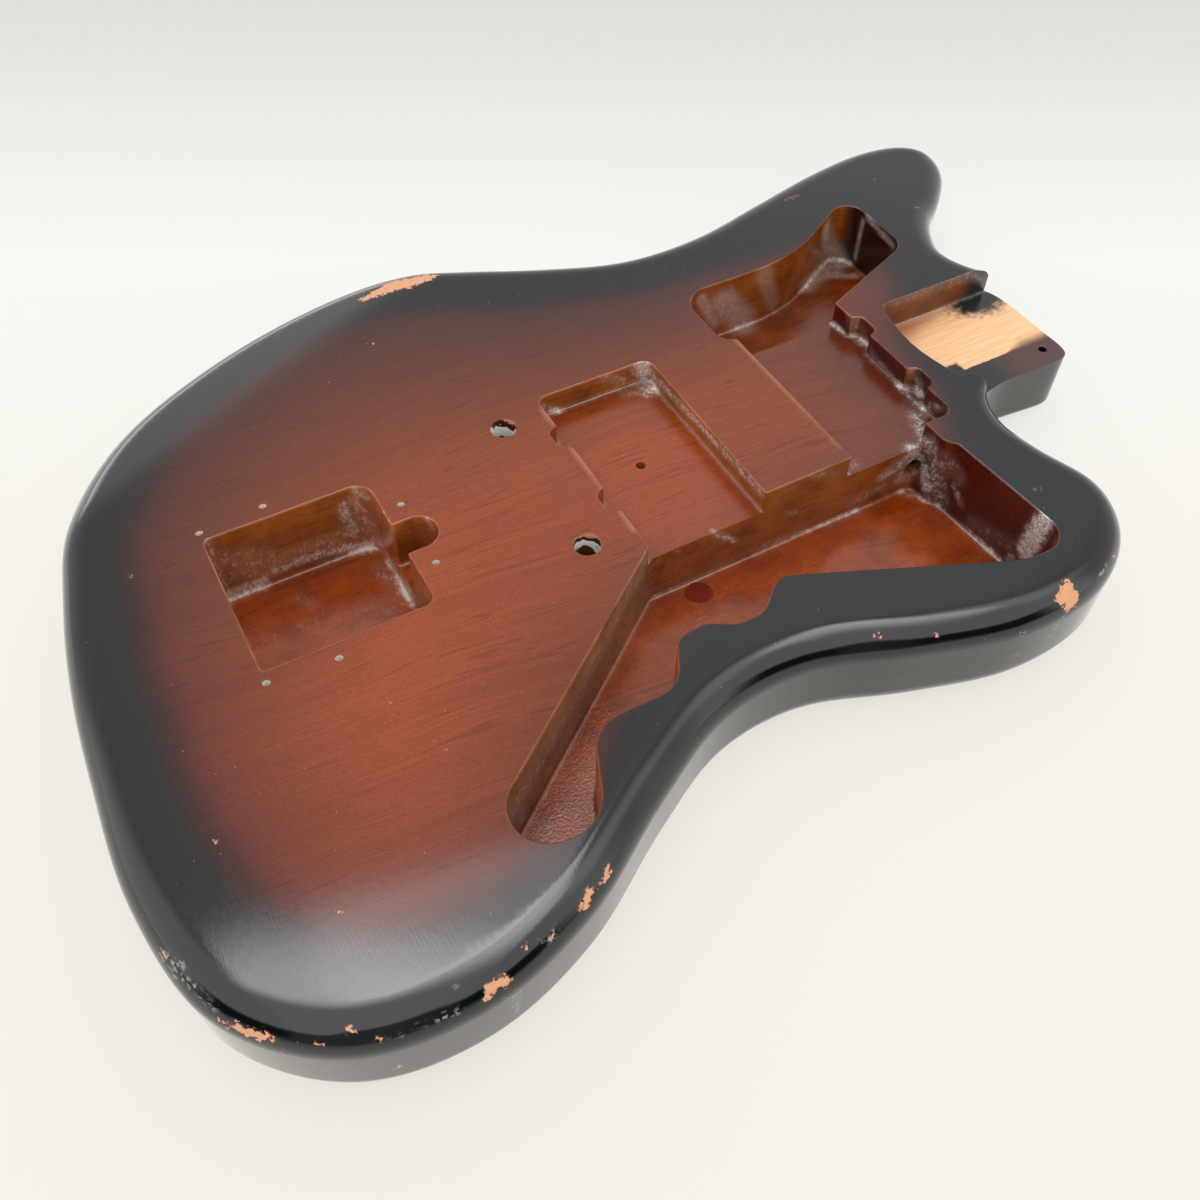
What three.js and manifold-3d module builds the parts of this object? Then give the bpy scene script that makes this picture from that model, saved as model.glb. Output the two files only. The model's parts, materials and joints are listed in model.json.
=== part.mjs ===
// Body of an electric guitar with an offset waist, bare of hardware: three boards glued edge to edge,
// shaped as one block, with the cavities and holes that its hardware goes into, and one plug in a floor.
// Millimetres. X runs along the strings towards the neck, Y towards the bass strings and Z up.
// The origin is on the flat back, below the middle of the two bridge posts.

import * as THREE from 'three';
import { mergeVertices } from 'three/addons/utils/BufferGeometryUtils.js';
import Module from 'manifold-3d';

const wasm = await Module();
wasm.setup();

// Whole body
const bodyLength = 494;
const bodyWidth = 342;
const bodyThickness = 45;
const edgeRadius = 12.9;

// Boards, by the places of their two glued joints
const bassJointPlace = 50.6;
const trebleJointPlace = -60.8;

// Contour for the player's forearm, a slope that falls away beyond a line across the top
const forearmSlopeShare = 0.24;
const forearmBlend = 14;
const forearmLineShares = [[-0.338, 0.195], [0.041, 0.456]];

// Contour for the player's ribs, a hollow in the back at the bass waist
const bellyDepth = 10;
const bellyWidth = 48;

// Least width of the rings that lead from the rounded edge onto the flat faces
const ringWidth = 1;

// Pocket for the neck's heel
const pocketWidth = 56.5;
const pocketDepth = 16;
const pocketStart = 185.8;
const pocketEndRadius = 86;
const pocketBassCorner = 5;
const pocketTrebleCorner = 6.5;
const heelEnd = 262;
const heelCorner = 6;
const trebleWallEnd = 199;
const heelFillet = 12;

// Cavities for the two pickups and the rounded lugs on their ends
const pickupDepth = 11.1;
const pickupCorner = 5;
const bridgePickupStart = 20.2;
const bridgePickupLength = 55;
const bridgePickupReach = 45.9;
const neckPickupStart = 118;
const neckPickupLength = 54.7;
const neckPickupTrebleReach = 44.3;
const lugRadius = 7.6;
const lugOffset = 20.3;
const lugReach = 4.8;

// Cavity for the main controls, whose straight inner wall lies beside the pickups, and the wood below it
const controlFloor = 8.2;
const controlWallPlace = -46.6;
const controlLobeRadius = 16;

// Cavity for the small controls in the bass horn, and the wood below it
const rhythmFloor = 13.1;
const rhythmCornerRadius = 13;

// Cavity for the tremolo and its slot, and the wood below them
const tremoloFloor = 8.1;
const slotFloor = 20.7;
const tremoloEnd = -61.8;
const tremoloLength = 65.8;
const tremoloWidth = 68.8;
const tremoloCorner = 4;
const tremoloLargeCorner = 7.5;
const slotEnd = -46.4;
const slotWidth = 16;

// Holes for the bridge posts
const postSpacing = 73;
const postDiameter = 10.9;
const postDepth = 25;

// Pilot holes for the six tremolo screws
const pilotDiameter = 3;
const pilotDepth = 18;
const pilotMargin = 4.9;
const pilotMidMargin = 7;
const pilotMidPlace = -101.8;
const pilotTipPlace = -54.1;
const pilotTipOffset = 16.9;

// Single holes: one in the bridge pickup's floor, and one in the heel that held the body while it was sprayed
const floorHoleDiameter = 4;
const floorHoleDepth = 10;
const floorHolePlace = 45.3;
const sprayHoleDiameter = 3.8;
const sprayHoleDepth = 18;
const sprayHoleInset = 8.9;
const sprayHoleOffset = 9.3;

// Channel for wires, which runs below the neck pickup from cavity to cavity
const channelDiameter = 9.1;
const channelRoof = 7.6;
const channelInset = 2.1;

// Plug in the floor of the control cavity
const plugDiameter = 11.6;
const plugThickness = 5;
const plugGap = 0.3;
const plugPlace = 43;
const plugWallGap = 0.7;

// How far each cut runs past the face that it opens, and how finely round shapes are divided
const overrun = 10;
const samplesPerSpan = 4;
const roundoverSteps = 4;
const contourSteps = 3;
const arcStep = Math.PI / 12;
const holeSides = 24;

// The least share of a ring's way across the forearm contour that its inward direction may count for,
// and the share of the room inside the outline that an edge and its contour may fill
const leastFacing = 0.5;
const roomShare = 0.9;

// The outline, anticlockwise from the butt, as shares of the body's length and width, then how much
// of the full roundover and of the belly contour is there: [x, y, top edge, back edge, belly]
const buttToTrebleHornShares = [
  [-0.388, -0.124, 1, 1, 0],
  [-0.388, -0.273, 1, 1, 0],
  [-0.364, -0.406, 1, 1, 0],
  [-0.302, -0.489, 1, 1, 0],
  [-0.219, -0.509, 1, 1, 0],
  [-0.135, -0.477, 1, 1, 0],
  [-0.055, -0.408, 1, 1, 0],
  [0.019, -0.356, 1, 1, 0],
  [0.094, -0.350, 1, 1, 0],
  [0.180, -0.393, 1, 1, 0],
  [0.266, -0.425, 1, 1, 0],
  [0.342, -0.415, 1, 1, 0],
  [0.393, -0.369, 1, 1, 0],
  [0.412, -0.302, 1, 1, 0],
  [0.397, -0.222, 1, 1, 0],
  [0.391, -0.166, 1, 1, 0],
];
const bassHornToButtShares = [
  [0.505, 0.148, 1, 1, 0],
  [0.515, 0.189, 1, 1, 0],
  [0.538, 0.235, 1, 1, 0],
  [0.574, 0.278, 1, 1, 0],
  [0.605, 0.328, 1, 1, 0],
  [0.609, 0.381, 1, 1, 0],
  [0.585, 0.415, 1, 1, 0],
  [0.537, 0.428, 1, 1, 0],
  [0.467, 0.416, 1, 1, 0],
  [0.379, 0.385, 1, 1, 0],
  [0.291, 0.355, 1, 1, 0.5],
  [0.210, 0.355, 1, 1, 1],
  [0.137, 0.392, 1, 1, 1],
  [0.063, 0.442, 1, 1, 0.7],
  [-0.015, 0.487, 1, 1, 0.2],
  [-0.107, 0.482, 1, 1, 0],
  [-0.202, 0.437, 1, 1, 0],
  [-0.288, 0.356, 1, 1, 0],
  [-0.346, 0.234, 1, 1, 0],
  [-0.371, 0.099, 1, 1, 0],
  [-0.383, -0.012, 1, 1, 0],
];

// The rim of the control cavity below its straight wall, as shares of the body's length and width,
// and each corner's radius as a share of the lobes' radius: [x, y, radius]
const controlRimShares = [
  [-0.160, -0.358, 0.8],
  [-0.150, -0.411, 1],
  [-0.103, -0.417, 1],
  [-0.075, -0.318, 0.9],
  [-0.006, -0.319, 0.9],
  [0.014, -0.266, 0.4],
  [0.040, -0.263, 0.5],
  [0.060, -0.281, 0.75],
  [0.083, -0.281, 0.75],
  [0.112, -0.245, 0.55],
  [0.292, -0.359, 2],
  [0.336, -0.359, 0.9],
  [0.327, -0.179, 0.25],
  [0.319, -0.166, 0.25],
];
const controlStartShare = 0.047;

// The rim of the rhythm cavity, as shares of the body's length and width, and each corner's radius
// as a share of the common corner radius: [x, y, radius]
const rhythmRimShares = [
  [0.226, 0.110, 1],
  [0.336, 0.109, 1],
  [0.465, 0.182, 0.8],
  [0.465, 0.320, 0.7],
  [0.356, 0.228, 6.8],
  [0.226, 0.228, 1],
];

// A closed solid for cutting and joining, from a geometry whose faces point outwards
function solidFrom(geometry) {
  geometry.deleteAttribute('normal');
  geometry.deleteAttribute('uv');
  const merged = mergeVertices(geometry);
  return new wasm.Manifold(new wasm.Mesh({
    numProp: 3,
    vertProperties: merged.getAttribute('position').array,
    triVerts: Uint32Array.from(merged.index.array),
  }));
}

// The geometry of a solid after its cuts
function geometryFrom(solid) {
  const mesh = solid.getMesh();
  const geometry = new THREE.BufferGeometry();
  geometry.setAttribute('position', new THREE.BufferAttribute(mesh.vertProperties, 3));
  geometry.setIndex(new THREE.BufferAttribute(mesh.triVerts, 1));
  geometry.computeVertexNormals();
  return geometry;
}

// An upright solid over an outline, from one height to another
function prism(points, bottom, top) {
  const geometry = new THREE.ExtrudeGeometry(new THREE.Shape(points), {
    depth: top - bottom,
    bevelEnabled: false,
  });
  geometry.translate(0, 0, bottom);
  return solidFrom(geometry);
}

// An upright round solid, from one height to another
function roundHole(x, y, diameter, bottom, top) {
  const geometry = new THREE.CylinderGeometry(diameter / 2, diameter / 2, top - bottom, holeSides);
  geometry.rotateX(Math.PI / 2);
  geometry.translate(x, y, (bottom + top) / 2);
  return solidFrom(geometry);
}

// A closed outline whose corners [x, y, radius] are rounded by arcs, each no longer than its wall allows
function roundedOutline(corners) {
  return corners.flatMap(([x, y, radius], i) => {
    const corner = new THREE.Vector2(x, y);
    const previous = corners.at(i - 1);
    const next = corners[(i + 1) % corners.length];
    const back = new THREE.Vector2(previous[0], previous[1]).sub(corner);
    const ahead = new THREE.Vector2(next[0], next[1]).sub(corner);
    const longestReach = Math.min(back.length(), ahead.length()) / 2;
    back.normalize();
    ahead.normalize();
    const halfAngle = Math.acos(back.dot(ahead)) / 2;
    const reach = Math.min(radius / Math.tan(halfAngle), longestReach);
    if (reach === 0) {
      return [corner];
    }
    const fittedRadius = reach * Math.tan(halfAngle);
    const towardsCentre = back.clone().add(ahead).normalize();
    const centre = corner.clone().addScaledVector(towardsCentre, fittedRadius / Math.sin(halfAngle));
    const start = corner.clone().addScaledVector(back, reach).sub(centre);
    const turn = (Math.PI - 2 * halfAngle) * Math.sign(ahead.cross(back));
    const steps = Math.max(1, Math.ceil(Math.abs(turn) / arcStep));
    return Array.from({ length: steps + 1 }, (unused, k) => {
      const spoke = start.clone().rotateAround(new THREE.Vector2(), turn * k / steps);
      return spoke.add(centre);
    });
  });
}

// The corners of a rectangle, anticlockwise from its lowest x and y, with one radius for each
function rectangle(x0, y0, x1, y1, radii = [0, 0, 0, 0]) {
  return [[x0, y0, radii[0]], [x1, y0, radii[1]], [x1, y1, radii[2]], [x0, y1, radii[3]]];
}

// Heights that most cuts share
const cutTop = bodyThickness + overrun;
const pocketFloor = bodyThickness - pocketDepth;
const pickupFloor = bodyThickness - pickupDepth;
const channelHeight = pickupFloor - channelRoof - channelDiameter / 2;

// Where the control cavity's straight wall ends, and the wire channel beside that corner
const controlWallEnd = controlRimShares.at(-1)[0] * bodyLength;
const channelPlace = controlWallEnd - channelInset;

// The outline round the heel: the inner corner beside the treble horn, the heel's two corners,
// and the nose where the bass horn begins, with the same five values as the tables of shares
function heelPoints() {
  const side = pocketWidth / 2;
  const cornerStep = heelCorner * Math.SQRT1_2;
  return [
    [trebleWallEnd - heelFillet / 4, -side - heelFillet * 1.15, 0.6, 1, 0],
    [trebleWallEnd + heelFillet / 2, -side - heelFillet / 3, 0.2, 0.7, 0],
    [trebleWallEnd + heelFillet * 1.7, -side, 0.1, 0.5, 0],
    [heelEnd - heelCorner, -side, 0.1, 0.2, 0],
    [heelEnd - heelCorner + cornerStep, -side + heelCorner - cornerStep, 0.1, 0.2, 0],
    [heelEnd, -side + heelCorner, 0.1, 0.2, 0],
    [heelEnd, -side / 4, 0.1, 0.5, 0],
    [heelEnd, side / 2, 0.2, 0.5, 0],
    [heelEnd - heelCorner * 0.35, side - heelCorner * 0.35, 0.4, 0.8, 0],
    [heelEnd - heelCorner * 1.4, side + heelCorner * 1.35, 0.7, 1, 0],
  ];
}

// How far a place lies beyond the line where the forearm contour begins
const [forearmStart, forearmFinish] = forearmLineShares.map(
  ([x, y]) => new THREE.Vector2(x * bodyLength, y * bodyWidth));
const forearmRun = forearmFinish.clone().sub(forearmStart).normalize();
const forearmOut = new THREE.Vector2(-forearmRun.y, forearmRun.x);
const beyondForearmLine = (place) => place.clone().sub(forearmStart).dot(forearmOut);

// Height of the top at a place: flat, then a parabola over the blend, then an even slope
function topHeight(place) {
  const beyond = beyondForearmLine(place) + forearmBlend / 2;
  if (beyond <= 0) {
    return bodyThickness;
  }
  const fall = beyond < forearmBlend ? beyond ** 2 / (2 * forearmBlend) : beyond - forearmBlend / 2;
  return bodyThickness - forearmSlopeShare * fall;
}

// A sample's place moved inwards by a distance
const insetPlace = (sample, inset) => sample.place.clone().addScaledVector(sample.inward, inset);

// The radius of the largest circle inside the outline that touches it at one sample
function roomAt(sample, samples) {
  return Math.min(...samples.map((other) => {
    const apart = other.place.clone().sub(sample.place);
    const depth = apart.dot(sample.inward);
    return depth > 0 ? apart.lengthSq() / (2 * depth) : Infinity;
  }));
}

// A rounded edge and the contour beyond it, both made smaller alike where they have too little room
function fitted(radius, reach, room) {
  const fit = Math.min(1, roomShare * room / (radius + reach));
  return [radius * fit, reach * fit];
}

// The whole outline as evenly divided samples: place, inward direction, the radii of both edges,
// how far both contours reach in from them, and the share of the belly contour
function outlineSamples() {
  const scaled = (rows) => rows.map(([x, y, ...rest]) => [x * bodyLength, y * bodyWidth, ...rest]);
  const rows = [...scaled(buttToTrebleHornShares), ...heelPoints(), ...scaled(bassHornToButtShares)];
  const corners = rows.map(([x, y]) => new THREE.Vector3(x, y, 0));
  const curve = new THREE.CatmullRomCurve3(corners, true, 'centripetal');
  const count = rows.length * samplesPerSpan;
  const samples = Array.from({ length: count }, (unused, i) => {
    const place = curve.getPoint(i / count);
    const tangent = curve.getTangent(i / count);
    const row = rows[Math.floor(i / samplesPerSpan)];
    const nextRow = rows[(Math.floor(i / samplesPerSpan) + 1) % rows.length];
    const between = (i % samplesPerSpan) / samplesPerSpan;
    const share = (column) => THREE.MathUtils.lerp(row[column], nextRow[column], between);
    return {
      place: new THREE.Vector2(place.x, place.y),
      inward: new THREE.Vector2(-tangent.y, tangent.x),
      topShare: share(2),
      backShare: share(3),
      bellyShare: share(4),
    };
  });
  for (const sample of samples) {
    const room = roomAt(sample, samples);
    const topRadius = sample.topShare * edgeRadius;
    const beyond = Math.max(0, beyondForearmLine(insetPlace(sample, topRadius)) + forearmBlend / 2);
    const facing = Math.max(leastFacing, -sample.inward.dot(forearmOut));
    [sample.topRadius, sample.topReach] = fitted(topRadius, beyond / facing + ringWidth, room);
    const backReach = bellyWidth * sample.bellyShare + ringWidth;
    [sample.backRadius, sample.backReach] = fitted(sample.backShare * edgeRadius, backReach, room);
  }
  return samples;
}

// Rings of points from the middle of the back, round the edge, to the flat of the top
function blankRings(samples) {
  const quarter = (k) => (k / roundoverSteps) * Math.PI / 2;
  const rings = [];
  for (let k = contourSteps; k > 0; k -= 1) {
    const share = k / contourSteps;
    rings.push(samples.map((sample) => {
      const { x, y } = insetPlace(sample, sample.backRadius + sample.backReach * share);
      return [x, y, bellyDepth * sample.bellyShare * (1 - share) ** 2];
    }));
  }
  for (let k = 0; k <= roundoverSteps; k += 1) {
    const angle = quarter(k);
    rings.push(samples.map((sample) => {
      const { x, y } = insetPlace(sample, sample.backRadius * (1 - Math.sin(angle)));
      return [x, y, bellyDepth * sample.bellyShare + sample.backRadius * (1 - Math.cos(angle))];
    }));
  }
  for (let k = 0; k <= roundoverSteps; k += 1) {
    const angle = quarter(k);
    rings.push(samples.map((sample) => {
      const place = insetPlace(sample, sample.topRadius * (1 - Math.cos(angle)));
      return [place.x, place.y, topHeight(place) - sample.topRadius * (1 - Math.sin(angle))];
    }));
  }
  for (let k = 1; k <= contourSteps; k += 1) {
    const share = k / contourSteps;
    rings.push(samples.map((sample) => {
      const place = insetPlace(sample, sample.topRadius + sample.topReach * share);
      return [place.x, place.y, topHeight(place)];
    }));
  }
  return rings;
}

// The solid block with its outline, rounded edges and contours, before any cavity is cut
function bodyBlank() {
  const samples = outlineSamples();
  const rings = blankRings(samples);
  const count = samples.length;
  const triangles = [];
  for (let ring = 0; ring < rings.length - 1; ring += 1) {
    for (let i = 0; i < count; i += 1) {
      const next = (i + 1) % count;
      const [a, b] = [ring * count + i, ring * count + next];
      triangles.push(a, b, b + count, a, b + count, a + count);
    }
  }
  const cap = (ring) => THREE.ShapeUtils.triangulateShape(
    rings[ring].map(([x, y]) => new THREE.Vector2(x, y)), []);
  for (const [a, b, c] of cap(0)) {
    triangles.push(a, c, b);
  }
  const first = (rings.length - 1) * count;
  for (const [a, b, c] of cap(rings.length - 1)) {
    triangles.push(first + a, first + b, first + c);
  }
  const geometry = new THREE.BufferGeometry();
  geometry.setAttribute('position', new THREE.Float32BufferAttribute(rings.flat(2), 3));
  geometry.setIndex(triangles);
  return solidFrom(geometry);
}

// The pocket for the neck: two parallel sides, an inner end that bulges towards the bridge,
// and no wall past the end of the treble side, so that the heel is open there
function neckPocket() {
  const side = pocketWidth / 2;
  const bulge = pocketEndRadius - Math.sqrt(pocketEndRadius ** 2 - side ** 2);
  const openEnd = heelEnd + overrun;
  const openSide = -side - heelFillet - overrun;
  return prism(roundedOutline([
    [pocketStart + bulge, -side, pocketTrebleCorner],
    [trebleWallEnd, -side, 0],
    [trebleWallEnd, openSide, 0],
    [openEnd, openSide, 0],
    [openEnd, side, 0],
    [pocketStart + bulge, side, pocketBassCorner],
    [pocketStart - bulge / 3, 0, pocketEndRadius],
  ]), pocketFloor, cutTop);
}

// One lug of a pickup cavity: a round recess that overlaps the cavity's end wall
function pickupLug(wall, y, direction) {
  const x = wall + direction * (lugReach - lugRadius);
  return roundHole(x, y, 2 * lugRadius, pickupFloor, cutTop);
}

// The bridge pickup's cavity, open into the control cavity, with two lugs on its bridge side
function bridgePickup() {
  const end = bridgePickupStart + bridgePickupLength;
  const mouth = controlWallPlace - overrun / 2;
  const box = prism(roundedOutline(rectangle(
    bridgePickupStart, mouth, end, bridgePickupReach, [0, 0, pickupCorner, pickupCorner])),
  pickupFloor, cutTop);
  return [box, pickupLug(bridgePickupStart, lugOffset, -1), pickupLug(bridgePickupStart, -lugOffset, -1)];
}

// The neck pickup's cavity, open to the rhythm cavity and the control cavity, with two lugs on its far side
function neckPickup() {
  const end = neckPickupStart + neckPickupLength;
  const bassEnd = rhythmRimShares[0][1] * bodyWidth + overrun / 2;
  const mouth = controlWallPlace - overrun / 2;
  const box = prism(roundedOutline([
    [neckPickupStart, mouth, 0],
    [controlWallEnd, mouth, 0],
    [controlWallEnd, -neckPickupTrebleReach, 0],
    [end, -neckPickupTrebleReach, pickupCorner],
    [end, bassEnd, 0],
    [neckPickupStart, bassEnd, 0],
  ]), pickupFloor, cutTop);
  return [box, pickupLug(end, lugOffset, 1), pickupLug(end, -lugOffset, 1)];
}

// A cavity whose rim is a table of shares: places in the body's sizes and radii in one common radius
const rimCorners = (rows, radius) => rows.map(([x, y, share]) => [x * bodyLength, y * bodyWidth, share * radius]);

function controlCavity() {
  const rim = rimCorners(controlRimShares, controlLobeRadius);
  const wallStart = controlStartShare * bodyLength;
  const corners = [[wallStart, controlWallPlace, 0], ...rim, [controlWallEnd, controlWallPlace, 0]];
  return prism(roundedOutline(corners), controlFloor, cutTop);
}

function rhythmCavity() {
  const corners = rimCorners(rhythmRimShares, rhythmCornerRadius);
  return prism(roundedOutline(corners), rhythmFloor, cutTop);
}

// The tremolo's cavity and, on its bridge side, the slot with a round end
function tremoloCavity() {
  const side = tremoloWidth / 2;
  const box = prism(roundedOutline(rectangle(
    tremoloEnd - tremoloLength, -side, tremoloEnd, side,
    [tremoloCorner, tremoloCorner, tremoloLargeCorner, tremoloCorner])),
  tremoloFloor, cutTop);
  const slotSide = slotWidth / 2;
  const slot = prism(roundedOutline(rectangle(
    tremoloEnd - slotSide, -slotSide, slotEnd, slotSide, [0, slotSide, slotSide, 0])),
  slotFloor, cutTop);
  return [box, slot];
}

// Six pilot holes round the tremolo's cavity, in pairs about the centre line
function tremoloPilots() {
  const side = tremoloWidth / 2;
  const pairs = [
    [tremoloEnd - tremoloLength, side + pilotMargin],
    [pilotMidPlace, side + pilotMidMargin],
    [pilotTipPlace, pilotTipOffset],
  ];
  return pairs.flatMap(([x, y]) => [y, -y].map(
    (place) => roundHole(x, place, pilotDiameter, bodyThickness - pilotDepth, cutTop)));
}

// Two blind holes for the bridge posts
function bridgePosts() {
  const bottom = bodyThickness - postDepth;
  return [1, -1].map((side) => roundHole(0, side * postSpacing / 2, postDiameter, bottom, cutTop));
}

// The hole in the bridge pickup's floor and the hole in the heel
function singleHoles() {
  const sprayX = heelEnd - sprayHoleInset;
  const sprayY = -pocketWidth / 2 + sprayHoleOffset;
  return [
    roundHole(floorHolePlace, 0, floorHoleDiameter, pickupFloor - floorHoleDepth, pickupFloor + overrun),
    roundHole(sprayX, sprayY, sprayHoleDiameter, pocketFloor - sprayHoleDepth, pocketFloor + overrun),
  ];
}

// The wire channel, a round bore along Y from the control cavity to the rhythm cavity
function wireChannel() {
  const bassEnd = rhythmRimShares[0][1] * bodyWidth + overrun;
  const trebleEnd = controlWallPlace - overrun / 2;
  const radius = channelDiameter / 2;
  const geometry = new THREE.CylinderGeometry(radius, radius, bassEnd - trebleEnd, holeSides);
  geometry.translate(channelPlace, (bassEnd + trebleEnd) / 2, channelHeight);
  return solidFrom(geometry);
}

// The plug's middle, and the round seat for it in the control cavity's floor
const plugCentre = new THREE.Vector2(plugPlace, controlWallPlace - plugWallGap - plugGap - plugDiameter / 2);
function plugSeat() {
  const bottom = controlFloor - plugThickness;
  return roundHole(plugCentre.x, plugCentre.y, plugDiameter + 2 * plugGap, bottom, controlFloor + overrun);
}

// The block with everything cut out of it
const shapedBody = [
  neckPocket(),
  ...bridgePickup(),
  ...neckPickup(),
  controlCavity(),
  rhythmCavity(),
  ...tremoloCavity(),
  ...tremoloPilots(),
  ...bridgePosts(),
  ...singleHoles(),
  wireChannel(),
  plugSeat(),
].reduce((body, cut) => body.subtract(cut), bodyBlank());

// One board: the part of the shaped body between two glued joints
function board(name, from, to, colour) {
  const slab = prism(roundedOutline(rectangle(-bodyLength, from, bodyLength, to)), -overrun, cutTop);
  const material = new THREE.MeshStandardMaterial({ color: colour, roughness: 0.25, metalness: 0 });
  const mesh = new THREE.Mesh(geometryFrom(shapedBody.intersect(slab)), material);
  mesh.name = name;
  return mesh;
}

// The plug, seated on the bottom of its hole and level with the floor round it
function floorPlug() {
  const radius = plugDiameter / 2;
  const material = new THREE.MeshStandardMaterial({ color: '#4a1c14', roughness: 0.4, metalness: 0 });
  const mesh = new THREE.Mesh(new THREE.CylinderGeometry(radius, radius, plugThickness, holeSides), material);
  mesh.name = 'floor_plug';
  mesh.rotation.x = Math.PI / 2;
  mesh.position.set(plugCentre.x, plugCentre.y, controlFloor - plugThickness / 2);
  return mesh;
}

const guitarBody = new THREE.Group();
guitarBody.name = 'guitar_body';
guitarBody.add(
  board('bass_board', bassJointPlace, bodyWidth, '#3a1d16'),
  board('centre_board', trebleJointPlace, bassJointPlace, '#8a4a38'),
  board('treble_board', -bodyWidth, trebleJointPlace, '#2f2220'),
  floorPlug(),
);

export default guitarBody;
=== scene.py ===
"""Looks of a bare electric guitar body in sunburst lacquer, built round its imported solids.

Shapes are worked out in millimetres, in the frame of the solids: X runs along the strings towards the
neck, Y towards the bass strings and Z up, with the origin on the flat back. Meshes are written in metres.
"""

from __future__ import annotations

import json
import logging
import math
from dataclasses import dataclass, field

import bpy
import numpy as np
from mathutils import Matrix, Vector
from mathutils.geometry import delaunay_2d_cdt

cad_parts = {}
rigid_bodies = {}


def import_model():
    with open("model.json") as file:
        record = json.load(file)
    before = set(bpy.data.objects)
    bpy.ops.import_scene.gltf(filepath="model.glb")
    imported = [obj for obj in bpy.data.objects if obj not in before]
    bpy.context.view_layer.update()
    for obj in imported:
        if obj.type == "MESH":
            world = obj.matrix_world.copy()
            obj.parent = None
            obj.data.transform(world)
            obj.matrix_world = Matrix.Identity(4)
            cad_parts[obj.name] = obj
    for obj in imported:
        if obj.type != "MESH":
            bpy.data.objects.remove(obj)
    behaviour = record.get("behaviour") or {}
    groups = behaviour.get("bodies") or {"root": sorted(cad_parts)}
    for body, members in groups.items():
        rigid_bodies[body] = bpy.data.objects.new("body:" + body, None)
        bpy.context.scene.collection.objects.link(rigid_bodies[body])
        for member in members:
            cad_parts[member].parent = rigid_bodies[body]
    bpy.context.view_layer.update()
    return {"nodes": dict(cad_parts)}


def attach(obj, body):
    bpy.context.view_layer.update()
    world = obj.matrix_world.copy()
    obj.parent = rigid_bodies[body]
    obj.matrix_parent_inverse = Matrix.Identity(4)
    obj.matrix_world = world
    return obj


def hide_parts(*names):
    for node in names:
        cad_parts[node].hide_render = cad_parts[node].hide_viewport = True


logging.basicConfig(level=logging.INFO, format="%(message)s")
LOG = logging.getLogger("guitar_body")

MM = 0.001
BLOCK = 400_000
CURVE_STEPS = 64
ARC_STEP = math.radians(7)
NO_GRID = 1e6
GRID_CLEARANCE = 0.4
TINY = 1e-6

Corners = list[tuple[float, float, float]]
Stops = tuple[tuple[float, str], ...]
Smear = tuple[np.ndarray, np.ndarray, float, float]
Spot = tuple[Vector, float]


# Outlines


def curve_through(rows: np.ndarray, spacing: float) -> np.ndarray:
    """A closed centripetal Catmull-Rom curve through rows, divided evenly.

    Between two rows each value follows the cubic whose slopes at both ends come from the neighbouring
    rows, with knots set apart by the square root of the distance in x and y.

    Args:
        rows: One row for each point, whose first two values are x and y; the others go along.
        spacing: Distance between neighbouring samples, in the unit of x and y.

    Returns:
        The samples, one row each, with as many values as the given rows.
    """
    before, start, end, after = (np.roll(rows, shift, axis=0) for shift in (1, 0, -1, -2))
    knot = [np.sqrt(np.linalg.norm((b - a)[:, :2], axis=1))[:, None]
            for a, b in ((before, start), (start, end), (end, after))]
    slope = (end - start) / knot[1]
    slope_start = (start - before) / knot[0] - (end - before) / (knot[0] + knot[1]) + slope
    slope_end = slope - (after - start) / (knot[1] + knot[2]) + (after - end) / knot[2]
    slope_start, slope_end = slope_start * knot[1], slope_end * knot[1]
    steps = np.linspace(0, 1, CURVE_STEPS, endpoint=False)[None, :, None]
    a, b = start[:, None], slope_start[:, None]
    c = (-3 * start + 3 * end - 2 * slope_start - slope_end)[:, None]
    d = (2 * start - 2 * end + slope_start + slope_end)[:, None]
    fine = (a + b * steps + c * steps ** 2 + d * steps ** 3).reshape(-1, rows.shape[1])
    linear = (start[:, None, 2:] * (1 - steps) + end[:, None, 2:] * steps).reshape(-1, rows.shape[1] - 2)
    fine[:, 2:] = linear
    return evenly(fine, spacing)


def evenly(rows: np.ndarray, spacing: float) -> np.ndarray:
    """A closed line divided again at an even distance along its length.

    Args:
        rows: Points of the line, whose first two values are x and y; the others go along.
        spacing: Distance between neighbouring samples.

    Returns:
        The samples, one row each.
    """
    closed = np.vstack([rows, rows[:1]])
    way = np.concatenate([[0], np.cumsum(np.linalg.norm(np.diff(closed[:, :2], axis=0), axis=1))])
    count = max(8, round(way[-1] / spacing))
    places = np.linspace(0, way[-1], count, endpoint=False)
    return np.stack([np.interp(places, way, column) for column in closed.T], axis=1)


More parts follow.
